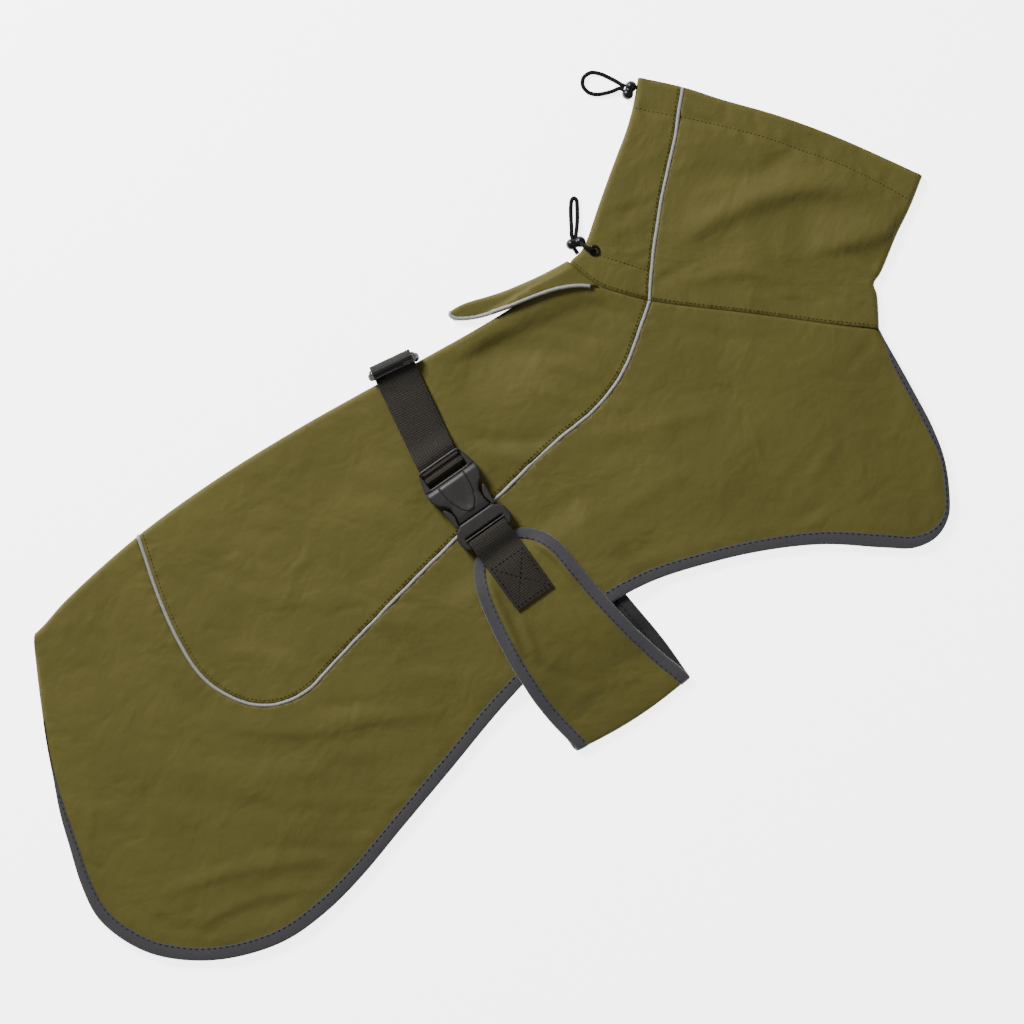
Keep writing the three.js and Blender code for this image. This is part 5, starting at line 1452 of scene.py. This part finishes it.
def band_pair(row, x, swell):
    """Outer and inner points of the band at one of its rows."""
    y, left, right, degrees, over = row
    shift = (x - 380) * -BAND_LEAN if y < -300 else np.zeros_like(x)
    bulge = BAND_BULGE * np.sin(np.pi * np.clip((x - left) / (right - left), 0, 1))
    shift = shift - bulge * smoothstep(-y, 300, 342)
    if over:
        if over > 0:
            plan = np.stack([x, np.full_like(x, y)], axis=1)
            bottom = band_near_floor(*plan.T) + creases(plan, BAND_CREASES) * smoothstep(-y, 160, 180)
        else:
            bottom = np.full_like(x, band_far_floor(y))
        plan_y = y + shift * smoothstep(-y, 300, 340)
        high = np.stack([x, plan_y, bottom + CLOTH + swell], axis=1)
        low = np.stack([x, plan_y, bottom], axis=1)
        return (high, low) if over > 0 else (low, high)
    c, s = cos_sin(degrees)
    outside = BAND_FOLD_RADIUS + swell * (1 + s) / 2
    inside_radius = max(BAND_FOLD_RADIUS - CLOTH - swell * (1 - s) / 2, 0.3)
    pair = []
    for radius in (outside, inside_radius):
        pair.append(np.stack([x, BAND_FOLD_Y + shift - radius * c,
                              np.full_like(x, BAND_FOLD_RADIUS + radius * s)], axis=1))
    return pair


def edge_inset(rows, side, inset):
    """x of a line inside one edge of the band, for each row."""
    line = np.array([(row[1 if side < 0 else 2], row[0]) for row in rows], float)
    run = np.abs(np.gradient(line[:, 0]))
    rise = np.abs(np.gradient(line[:, 1]))
    slope = np.where(rise > 0.01, np.minimum(np.hypot(run, rise) / np.maximum(rise, 0.01), 1.5), 1)
    return line[:, 0] - side * inset * slope


BAND_COLUMNS = 34
INSIDE_OF_RING = (9, 10, 11)  # the binding ring's faces that lie on the band's lining


def make_band():
    rows = band_rows()
    left = edge_inset(rows, -1, BINDING_WIDTH - IN_BINDING)
    right = edge_inset(rows, 1, BINDING_WIDTH - IN_BINDING)
    across = np.linspace(0, 1, BAND_COLUMNS)
    outer = np.stack([band_pair(row, mix(left[k], right[k], across), 0)[0] for k, row in enumerate(rows)])
    s = lengths(outer[:, BAND_COLUMNS // 2 - 1])
    width = float(np.mean(right - left))
    uv = np.stack([np.tile(across * width, (len(rows), 1)), np.tile(s[:, None], (1, BAND_COLUMNS))], axis=2)
    starts = [r * BAND_COLUMNS + k for r in range(len(rows) - 1) for k in range(BAND_COLUMNS - 1)]
    faces = [(p, p + BAND_COLUMNS, p + BAND_COLUMNS + 1, p + 1) for p in starts]
    sheet = make_object("belly_band_cloth", outer.reshape(-1, 3), faces, CLOTH_FINISH, uv.reshape(-1, 2))
    if sheet.data.polygons[BAND_COLUMNS + 6].normal.z < 0:
        sheet.data.flip_normals()
    piece = part_of_coat(thicken(sheet, CLOTH), "shell", "belly_band")
    shares, downs = np.array(BINDING_RING).T
    for side, sign in (("rear", -1), ("front", 1)):
        one, two = edge_inset(rows, sign, 0), edge_inset(rows, sign, BINDING_WIDTH)
        sections, uv = [], []
        for k, row in enumerate(rows):
            high, low = band_pair(row, mix(one[k], two[k], shares), BINDING_SWELL)
            sections.append(mix(high, low, downs[:, None]))
            uv.append(np.stack([np.full(len(shares), s[k]), shares * BINDING_WIDTH + downs * 3], axis=1))
        tape = strip(f"band_binding_{side}_tape", sections, [BINDING, LINING], uv)
        ring = len(BINDING_RING)
        for face in tape.data.polygons:
            on_tape = face.index < ring * (len(rows) - 1)
            face.material_index = int(on_tape and face.index % ring in INSIDE_OF_RING)
        trim(tape, "binding", "belly_band_cloth", f"band_binding_{side}")


# ---------------------------------------------------------------- straps and slider

BUCKLE_X, BUCKLE_TOP_Y = 369.3, -75
FEMALE_BAR, MALE_BAR, SLOT_LIP = 10, 76.2, 71.2  # distances down from the buckle's top
BAR_HALF = 2.2
BAR_LEVEL = 4.2  # a bar's middle above the buckle's underside
STRAP_TOP = (383, 6)
STRAP_SLOPE = 0.17  # x for each y along the strap's upper run
STRAP_REACH = 19  # half the webbing's width, rounded up
SLIDER_TILT = 62
SLIDER_Y, SLIDER_Z = 13.4, 10.5
SLIDER_X = STRAP_TOP[0] + 1.4
SLIDER = dict(width=46, height=21, thick=3.2, bar=3.2, rail=3.4, side=3.2)


def highest(left, right, low, high):
    """The body's highest top under a box in plan, sampled every 6 mm."""
    x, y = np.meshgrid(np.arange(left, right + 0.01, 6), np.arange(low, high + 0.01, 6))
    return float(body_top(x.ravel(), y.ravel()).max())


BUCKLE_FLOOR = highest(344, 396, -154, -75) + PIPING_SWELL + GAP
WRAP = BAR_HALF + GAP + WEBBING / 2  # a bar's middle to the middle of the webbing round it

# Ring of the webbing: across in half widths with an inset, and up in half thicknesses.
WEBBING_RING = [
    (-1, 0, -0.35), (-1, 0, 0.35), (-1, 0.5, 1), (-0.5, 0, 1.0), (0, 0, 1.0), (0.5, 0, 1.0),
    (1, -0.5, 1), (1, 0, 0.35), (1, 0, -0.35), (1, -0.5, -1), (0, 0, -1), (-1, 0.5, -1),
]


def webbing(name, rows, node):
    """Webbing along rows of x, y, z and the turn of its width in plan."""
    rows = np.asarray(rows, float)
    line = smooth(rows[:, :3], 7 * len(rows))
    at = np.linspace(0, len(rows) - 1, len(line))
    turns = np.radians(np.interp(at, np.arange(len(rows)), rows[:, 3]))
    across = np.stack([np.cos(turns), np.sin(turns), np.zeros_like(turns)], axis=1)
    along = np.gradient(line, axis=0)
    along /= np.linalg.norm(along, axis=1)[:, None]
    up = np.cross(across, along)
    up /= np.linalg.norm(up, axis=1)[:, None]
    s = lengths(line)
    sections, uv = [], []
    for side, inset, height in WEBBING_RING:
        reach = side * WEBBING_WIDTH / 2 + inset
        sections.append(line + across * reach + up * (height * WEBBING / 2))
        uv.append(np.stack([np.full(len(s), reach), s], axis=1))
    piece = strip(name, np.stack(sections, axis=1), [WEBBING_FINISH], np.stack(uv, axis=1))
    piece.data.set_sharp_from_angle(angle=math.radians(50))
    return part_of_coat(piece, "webbing", node)


def strap_row(y, z):
    """A row of the back strap, which turns from the slider's angle to the buckle's."""
    share = min((STRAP_TOP[1] - y) / (STRAP_TOP[1] - BUCKLE_TOP_Y), 1)
    turn = STRAP_TURN * (1 - float(smoothstep(-y, 20, 78)))
    return (mix(STRAP_TOP[0], BUCKLE_X, share), y, z, turn)


def on_back(y):
    """Middle of the strap's lower layer on the back."""
    x = strap_row(y, 0)[0]
    return highest(x - STRAP_REACH, x + STRAP_REACH, y - 3, y + 3) + GAP + WEBBING / 2


def make_back_strap():
    bar_y, bar_z = BUCKLE_TOP_Y - FEMALE_BAR, BUCKLE_FLOOR + BAR_LEVEL
    rows = [strap_row(y, on_back(y)) for y in (-2, -20, -40, -56)]
    rows += [strap_row(-70, bar_z - WRAP + 0.2), strap_row(bar_y + 4, bar_z - WRAP)]
    for degrees in (-110, -145, 180, 145, 110):
        c, s = cos_sin(degrees)
        x, _, z, turn = strap_row(bar_y, bar_z + WRAP * s)
        rows.append((x, bar_y + WRAP * c, z, turn))
    rows += [strap_row(y, bar_z + rise) for y, rise in ((bar_y + 3.5, 1.2), (bar_y + 7, -0.9), (-70, 0.6))]
    rows += [strap_row(y, on_back(y) + WEBBING + GAP) for y in (-56, -40, -20, -6)]
    c, s = cos_sin(SLIDER_TILT)
    over = SLIDER["thick"] / 2 + GAP + WEBBING / 2
    # Through the slider: reach along its face, and depth from its middle.
    for reach, depth in (
            (6.4, -1.2), (4.6, over - 0.2), (1, over + 0.5), (-4, over + 0.6), (-8.4, over + 0.2)):
        y = SLIDER_Y - reach * c + depth * s
        x, z = SLIDER_X + (y - SLIDER_Y) * STRAP_SLOPE, SLIDER_Z + reach * s + depth * c
        rows.append((x, y, z, STRAP_TURN))
    rows.append((SLIDER_X + 0.6, SLIDER_Y + 6.6, 1.3, STRAP_TURN))
    for y in (6, -10, -40, 6 - STRAP_RUN):
        z = WEBBING / 2 + (0.2 if y > 0 else 0.02)
        rows.append((STRAP_TOP[0] + (y - STRAP_TOP[1]) * STRAP_SLOPE, y, z, STRAP_TURN))
    strap = webbing("back_strap_webbing", rows, "back_strap")
    # Where it runs over the slider the webbing takes the darker copy: painted shade.
    strap.data.materials.append(SHADED_WEBBING)
    slider_y, slider_z = to_frame((0, SLIDER_Y - 4, 0))[1], 5.5 * MM
    for face in strap.data.polygons:
        face.material_index = int(face.center.y > slider_y and face.center.z > slider_z)


def on_band(y):
    """Top of the belly band under the buckle strap, set down towards the strap's end."""
    swell = BINDING_SWELL * 2 * float(smoothstep(y, -212, -192))
    return highest(352, 390, y - 3, y + 3) + swell + CLOTH + 2 * GAP + WEBBING / 2


MALE_BAR_Y = BUCKLE_TOP_Y - MALE_BAR
MALE_BAR_Z = max(BUCKLE_FLOOR + BAR_LEVEL, on_band(MALE_BAR_Y - 12) + WRAP)


def make_buckle_strap():
    row = lambda y, z: (mix(BUCKLE_X, 370.6, (MALE_BAR_Y - y) / 70), y, z, 0.4)
    rows = [row(y, on_band(y)) for y in (-216, -200, -184, -170)]
    rows.append(row(MALE_BAR_Y - 6, MALE_BAR_Z - WRAP))
    for degrees in (-70, -35, 0, 35, 70):
        c, s = cos_sin(degrees)
        rows.append(row(MALE_BAR_Y + WRAP * c, MALE_BAR_Z + WRAP * s))
    rows.append(row(MALE_BAR_Y - 7, MALE_BAR_Z + WRAP - 0.4))
    rows += [row(y, on_band(y) + WEBBING + GAP) for y in (-170, -184, -200, -219.5)]
    webbing("buckle_strap_webbing", rows, "buckle_strap")


# ---------------------------------------------------------------- moulded parts


def rounded_off(distance, radius):
    """How far a face drops towards an edge that is rounded by a radius."""
    d = np.clip(distance, 0, radius)
    return radius - np.sqrt(np.maximum(radius ** 2 - (radius - d) ** 2, 0))


def moulded(name, loops, step, radius, top, bottom, finish, sharp, lines=()):
    """A closed part over an outline with holes, with points a step apart and edges of a radius.
    top and bottom give its faces from x, y and the distance to the edge; sharp is the crease angle."""
    loops = [spaced(np.vstack([loop, loop[:1]]), step)[:-1] for loop in map(np.asarray, loops)]
    closed = [np.vstack([loop, loop[:1]]) for loop in loops]
    edge = lambda p: np.min([np.abs(near_line(p, line)[0]) for line in closed], axis=0)
    grid = grid_over(loops[0].min(axis=0), loops[0].max(axis=0), step)
    extra = [grid[edge(grid) > radius + 0.3 * step]]
    # rings of points over the rounded edge
    for share in (0.1, 0.35, 0.7, 1.0):
        for line in closed:
            for sign in (1, -1):
                moved = move_left(line, sign * share * radius)[:-1]
                moved = moved[inside(moved, loops)]
                extra.append(moved[edge(moved) > share * radius * 0.97])
    # points on both sides of a line that the face bends along
    for line in lines:
        for side in (-0.35, 0.35):
            moved = move_left(spaced(np.asarray(line, float), step), side)
            moved = moved[inside(moved, loops)]
            extra.append(moved[edge(moved) > radius])
    points, faces = fill(loops, np.vstack(extra), 0.02 * radius)
    distance = edge(points)
    x, y = points.T
    up = np.column_stack([points, top(x, y, distance)])
    down = np.column_stack([points, bottom(x, y, distance)])
    a, b, c = (points[faces[:, k]] for k in range(3))
    turned = ((b - a)[:, 0] * (c - a)[:, 1] - (b - a)[:, 1] * (c - a)[:, 0]) < 0
    faces[turned] = faces[turned][:, ::-1]
    count = len(points)
    ways = {(f[k], f[(k + 1) % 3]): True for f in faces for k in range(3)}
    walls = [(b, a, a + count, b + count) for a, b in ways if (b, a) not in ways]
    skin = [tuple(f) for f in faces] + [tuple(f[::-1] + count) for f in faces] + walls
    made = make_object(name, np.vstack([up, down]), skin, finish)
    made.data.set_sharp_from_angle(angle=math.radians(sharp))
    return made


def set_down(made, change):
    """Moves a part's points by a function of all of them, in millimetres."""
    co = np.empty(len(made.data.vertices) * 3)
    made.data.vertices.foreach_get("co", co)
    co = co.reshape(-1, 3) / MM - SHIFT
    made.data.vertices.foreach_set("co", in_frame(change(co)).ravel())
    made.data.update()
    return made


def both_sides(table):
    """A closed outline from rows of distance down and half width."""
    line = np.array([(half, -down) for down, half in table], float)
    return np.vstack([line, line[::-1] * np.array([-1, 1])])


def box_loop(x, y, half_wide, half_high, cut):
    """A rectangle with cut corners."""
    w, h = half_wide, half_high
    return np.array([
        (x - w + cut, y - h), (x + w - cut, y - h), (x + w, y - h + cut), (x + w, y + h - cut),
        (x + w - cut, y + h), (x - w + cut, y + h), (x - w, y + h - cut), (x - w, y - h + cut),
    ])


def capsule(name, start, end, radius, finish, sides=16):
    """A bar with rounded ends."""
    start, end = np.asarray(start, float), np.asarray(end, float)
    way = (end - start) / np.linalg.norm(end - start)
    path, radii = [], []
    angles = np.linspace(0, math.pi / 2, 6)
    for a in angles:
        path.append(start - way * radius * math.cos(a))
        radii.append(max(radius * math.sin(a), 0.05))
    for a in angles:
        path.append(end + way * radius * math.sin(a))
        radii.append(max(radius * math.cos(a), 0.05))
    return tube(name, np.array(path), np.array(radii), finish, sides)


SLOT_HALF = WEBBING_WIDTH / 2 + 0.4
# The raised tongue on the female half: distance down, half width.
TONGUE = [
    (20.3, 13.1), (26, 12.8), (31, 12.4), (35, 11.7), (40, 10.2), (44, 8.5), (48, 6.2), (50.2, 3.8),
    (51.6, 1.0),
]
TONGUE_TOP, TONGUE_END = TONGUE[0][0], TONGUE[-1][0]


def female_top(x, y, d):
    """Top of the female half: a low end for the strap, a crowned body, and a tongue with a thumb rest."""
    down = -y
    half = np.interp(down, FEMALE[:, 0], FEMALE[:, 1])
    body = mix(9.4, 12.0, smoothstep(down, 17.5, 24)) - 1.6 * smoothstep(down, 50, 57)
    body = body - 1.9 * (np.abs(x) / half) ** 2.4
    tongue = np.interp(down, *np.array(TONGUE).T) - np.abs(x)
    within = (down > TONGUE_TOP) & (down < TONGUE_END)
    tongue = np.where(within, np.minimum(tongue, (TONGUE_END - down) * 1.2), -1)
    rim = smoothstep(tongue, -0.2, 0.7)
    thumb = smoothstep(tongue, 0.6, 9) * smoothstep(down, 22, 43)
    groove = 0.7 * hill(tongue, 0.45) * (tongue > -1)
    body = body + 0.9 * rim - 0.9 * thumb - groove
    body = body - 1.3 * hill(down - 19.2, 0.55)  # groove across, above the tongue
    body = np.where(down < 2.7, 11.3, body)  # rail over the strap
    return BUCKLE_FLOOR + body - rounded_off(d, 1.5)


def female_bottom(x, y, d):
    """Underside of the female half, open under its end rail where the strap comes in."""
    mouth = (np.abs(x) < SLOT_HALF) & (-y < 2.8)
    return BUCKLE_FLOOR + np.where(mouth, 8.75, 0.02) + rounded_off(d, 0.6) * np.where(mouth, 0, 1)


def cross_bar(name, y, z, past_slot, radius):
    """A bar across the buckle, reaching past its slot at both ends."""
    reach = SLOT_HALF + past_slot
    return capsule(name, (BUCKLE_X - reach, y, z), (BUCKLE_X + reach, y, z), radius, [ACETAL])


def make_buckle():
    place = lambda co: co + np.array([BUCKLE_X, BUCKLE_TOP_Y, 0])
    opening = box_loop(0, -FEMALE_BAR, SLOT_HALF, 7.4, 0.6)
    tongue = [(w, -d) for d, w in TONGUE] + [(-w, -d) for d, w in TONGUE[::-1]]
    female = moulded("buckle_female_shell", [both_sides(FEMALE), opening], 0.75, 1.5,
                     female_top, female_bottom, [ACETAL], 48, [tongue])
    part_of_coat(set_down(female, place), "buckle", "buckle_female")
    bar = cross_bar("buckle_female_bar", BUCKLE_TOP_Y - FEMALE_BAR, BUCKLE_FLOOR + BAR_LEVEL, 1, 1.6)
    floor = BUCKLE_FLOOR + 1
    right = [(half, -down) for down, half in MALE]
    notch = [(SLOT_HALF, -80.2), (SLOT_HALF, -70.0), (SLOT_HALF - 0.9, -69.1)]
    outline = right + notch + [(-x, y) for x, y in notch[::-1]] + [(-x, y) for x, y in right[::-1]]

    def male_top(x, y, d):
        slope = mix(9.6, 8.6, smoothstep(-y, 58, 78))
        return floor + slope - 1.4 * (np.abs(x) / 26) ** 2 - rounded_off(d, 1.7)

    base = moulded("buckle_male_base", [outline], 0.8, 1.7, male_top,
                   lambda x, y, d: floor + rounded_off(d, 0.6), [ACETAL], 48)
    part_of_coat(set_down(base, place), "buckle", "buckle_male")
    parts = [bar]
    for name, sign in (("right", 1), ("left", -1)):
        loop = [(sign * x, -down) for x, down in PRONG]
        prong = moulded(f"buckle_prong_{name}", [loop], 0.55, 1.0,
                        lambda x, y, d: floor + 8.2 - rounded_off(d, 1.0),
                        lambda x, y, d: floor + 1.5 + rounded_off(d, 0.5), [ACETAL], 50)
        parts.append(set_down(prong, place))
    parts.append(cross_bar("buckle_male_bar", MALE_BAR_Y, MALE_BAR_Z, 1, 1.6))
    parts.append(cross_bar("buckle_slot_lip", BUCKLE_TOP_Y - SLOT_LIP, floor + 7.2, 0.5, 0.75))
    for part in parts:
        part_of_coat(part, "buckle")


def make_slider():
    half_w, half_h = SLIDER["width"] / 2, SLIDER["height"] / 2
    slot_high = (SLIDER["height"] - SLIDER["bar"] - 2 * SLIDER["rail"]) / 4
    slot_at = SLIDER["bar"] / 2 + slot_high
    slots = [box_loop(0, sign * slot_at, half_w - SLIDER["side"], slot_high, 0.6) for sign in (1, -1)]
    thick = SLIDER["thick"] / 2
    slider = moulded("slider_frame", [box_loop(0, 0, half_w - 1.6, half_h, 2.8), *slots], 0.8, 1.4,
                     lambda x, y, d: thick - rounded_off(d, 1.4),
                     lambda x, y, d: rounded_off(d, 1.4) - thick, [GLOSSY_ACETAL], 55)
    parts = [slider]
    for name, x, radius in (("right", half_w - 2.6, 3.5), ("left", 2.6 - half_w, 2.8)):
        end = capsule(f"slider_end_{name}", (x, -1.5, 0.2), (x, 4.6, 0.2), radius, [GLOSSY_ACETAL], 20)
        parts.append(end)
    # A rail along the frame in the paler satin acetal: its paleness is a painted highlight.
    parts.append(capsule("slider_rail_painted_highlight", (4 - half_w, 8.8, -1.3), (half_w - 4, 8.8, -1.3), 1.3, [ACETAL]))
    tilt_c, tilt_s = cos_sin(180 - SLIDER_TILT)
    turn_c, turn_s = cos_sin(STRAP_TURN)

    def tilted(co):
        x, y, z = co.T
        y, z = y * tilt_c - z * tilt_s, y * tilt_s + z * tilt_c
        x, y = x * turn_c - y * turn_s, x * turn_s + y * turn_c
        return np.column_stack([x + SLIDER_X, y + SLIDER_Y, z + SLIDER_Z])

    for part in parts:
        part_of_coat(set_down(part, tilted), "buckle", *(["slider"] if part is slider else []))


# Section of the eyelet's flange, from its hole outwards and back over its crown: radius, height.
EYELET_PROFILE = [
    (2.6, 0.0), (4.9, 0.0), (4.95, 0.25), (4.7, 0.62), (4.2, 0.9), (3.6, 1.0), (3.0, 0.9), (2.65, 0.6),
]


def make_eyelet():
    x, y = EYELET
    from_nape = 11.0
    floor = float(near_top(np.array([x]), np.array([y]), np.array([from_nape]))[0]) + GAP
    sections = []
    for degrees in np.linspace(0, 360, 49):
        c, s = cos_sin(degrees)
        sections.append([(x + r * c, y + r * s, floor + z) for r, z in EYELET_PROFILE])
    ring = strip("neck_eyelet_ring", sections, [NYLON], closed_ends=False)
    face_out(ring, merged=1e-6)
    part_of_coat(ring, "cord_lock", "eyelet")


# ---------------------------------------------------------------- stitches


def stitch_tree():
    """Geometry Nodes: even threads along the edges of a mesh of sewing lines."""
    tree = bpy.data.node_groups.new("sewn stitches", "GeometryNodeTree")
    face = tree.interface
    face.new_socket("Lines", in_out="INPUT", socket_type="NodeSocketGeometry")
    for name in ("Pitch", "Thread length", "Thread radius"):
        face.new_socket(name, in_out="INPUT", socket_type="NodeSocketFloat")
    face.new_socket("Thread", in_out="INPUT", socket_type="NodeSocketMaterial")
    face.new_socket("Stitches", in_out="OUTPUT", socket_type="NodeSocketGeometry")
    given = add(tree, "NodeGroupInput").outputs
    curve = add(tree, "GeometryNodeMeshToCurve", {"Mesh": given["Lines"]})
    even = add(tree, "GeometryNodeResampleCurve", {
        "Curve": curve.outputs["Curve"], "Length": given["Pitch"]}, mode="LENGTH")
    thread = add(tree, "GeometryNodeMeshUVSphere", {"Segments": 6, "Rings": 4, "Radius": 1.0})
    tangent = add(tree, "GeometryNodeInputTangent")
    turn = add(tree, "FunctionNodeAlignRotationToVector", {"Vector": tangent.outputs["Tangent"]}, axis="X")
    half = add(tree, "ShaderNodeMath", {0: given["Thread length"], 1: 0.5}, operation="MULTIPLY")
    size = add(tree, "ShaderNodeCombineXYZ", {
        "X": half.outputs["Value"], "Y": given["Thread radius"], "Z": given["Thread radius"]})
    placed = add(tree, "GeometryNodeInstanceOnPoints", {
        "Points": even.outputs["Curve"], "Instance": thread.outputs["Mesh"],
        "Rotation": turn.outputs["Rotation"], "Scale": size.outputs["Vector"]})
    real = add(tree, "GeometryNodeRealizeInstances", {"Geometry": placed.outputs["Instances"]})
    done = add(tree, "GeometryNodeSetMaterial", {
        "Geometry": real.outputs["Geometry"], "Material": given["Thread"]})
    add(tree, "NodeGroupOutput", {"Stitches": done.outputs["Geometry"]})
    return tree


STITCH_TREE = stitch_tree()
# Pitch, length and radius of a thread.
SHELL_SEWING = (3.6, 2.2, 0.34)
BINDING_SEWING = (5.2, 2.8, 0.36)
WEBBING_SEWING = (3.9, 2.2, 0.5)


def sew(name, lines, thread, sewing, slot_name, sheet_name):
    """A row of threads along each line of points."""
    points, edges = [], []
    for line in lines:
        start = len(points)
        points += in_frame(line).tolist()
        edges += [(start + k, start + k + 1) for k in range(len(line) - 1)]
    mesh = bpy.data.meshes.new(name)
    mesh.from_pydata(points, edges, [])
    rows = linked(name, mesh)
    modifier = rows.modifiers.new("stitches", "NODES")
    modifier.node_group = STITCH_TREE
    keys = {item.name: item.identifier for item in STITCH_TREE.interface.items_tree if item.in_out == "INPUT"}
    for key, size in zip(("Pitch", "Thread length", "Thread radius"), sewing):
        modifier[keys[key]] = size * MM
    modifier[keys["Thread"]] = thread
    finished(rows)
    rows.data.shade_smooth()
    trim(rows, slot_name, sheet_name)


def on_body(plan):
    return body_face(body_map(spaced(plan, 2.0))) + np.array([0, 0, STITCH_RISE])


def on_collar(plan):
    return collar_face(collar_map(spaced(plan, 2.0), True), True) + np.array([0, 0, STITCH_RISE])


def make_body_stitches():
    before_ends = lambda p: np.minimum(reach_of(p) - 3, -neck_of(p) - 1.5)
    line = keep(move_left(SEAM_LINE, 4.4), before_ends)
    sew("saddle_stitches", [on_body(line)], THREAD, SHELL_SEWING, "shell", "saddle_cloth")


def make_collar_stitches():
    in_collar = lambda p: np.minimum.reduce([nape_of(p) - 3, throat_of(p) - 3, under_top_of(p), neck_of(p)])
    nape_side = lambda p: np.minimum(in_collar(p), collar_seam_of(p) - 2.6)
    throat_side = lambda p: np.minimum(in_collar(p), -collar_seam_of(p) - 2.6)
    above_neck = move_left(NECK_LINE, 2.9)
    along_seam = keep(move_left(COLLAR_SEAM_LINE, 3.7), in_collar)
    back = [keep(line, nape_side) for line in (above_neck, TUNNEL, CHANNEL)] + [along_seam]
    front = [keep(line, throat_side) for line in (above_neck, TUNNEL)]
    for part, lines in (("back", back), ("front", front)):
        sew(f"collar_{part}_stitches", [on_collar(line) for line in lines], THREAD, SHELL_SEWING,
            "shell", f"collar_{part}_cloth")


def make_hem_stitches():
    shown = np.where(HEM_BOUND > 4)[0]
    plan = spaced(move_left(HEM_LINE, HEM_BOUND - 1.7)[shown[0]:shown[-1]], 2.2)
    z = near_top(*plan.T, reach_of(plan)) + creases(plan, CREASES) + BINDING_SWELL + STITCH_RISE
    sew("hem_stitches", [np.column_stack([plan, z])], DARK_THREAD, BINDING_SEWING, "binding",
        "flank_near_cloth")


def make_band_stitches():
    rows = band_rows()
    lines = []
    for side in (-1, 1):
        x = edge_inset(rows, side, BINDING_WIDTH - 1.6)
        pairs = [band_pair(row, x[k:k + 1], BINDING_SWELL + STITCH_RISE) for k, row in enumerate(rows)]
        for face in (0, 1):
            lines.append(np.array([pair[face][0] for pair in pairs]))
    sew("band_stitches", lines, DARK_THREAD, BINDING_SEWING, "binding", "belly_band_cloth")


def make_strap_stitches():
    """Box and cross on the end of the buckle strap."""
    top = lambda x, y: (x, y, on_band(y) + WEBBING + GAP + WEBBING / 2 + STITCH_RISE)
    corners = np.array([(354.3, -178.2), (385.5, -178.2), (386.7, -216.9), (354.4, -217.2)])
    lines = []
    for a, b in ((0, 1), (1, 2), (2, 3), (3, 0), (0, 2), (1, 3)):
        plan = mix(corners[a], corners[b], np.linspace(0, 1, 16)[:, None])
        lines.append(np.array([top(*p) for p in plan]))
    sew("strap_stitches", lines, DARK_THREAD, WEBBING_SEWING, "webbing", "belly_band_cloth")


# ---------------------------------------------------------------- making

make_body()
make_collar()
make_piping()
make_hem_binding()
make_flap()
make_band()
make_back_strap()
make_buckle_strap()
make_buckle()
make_slider()
make_eyelet()
make_body_stitches()
make_collar_stitches()
make_hem_stitches()
make_band_stitches()
make_strap_stitches()
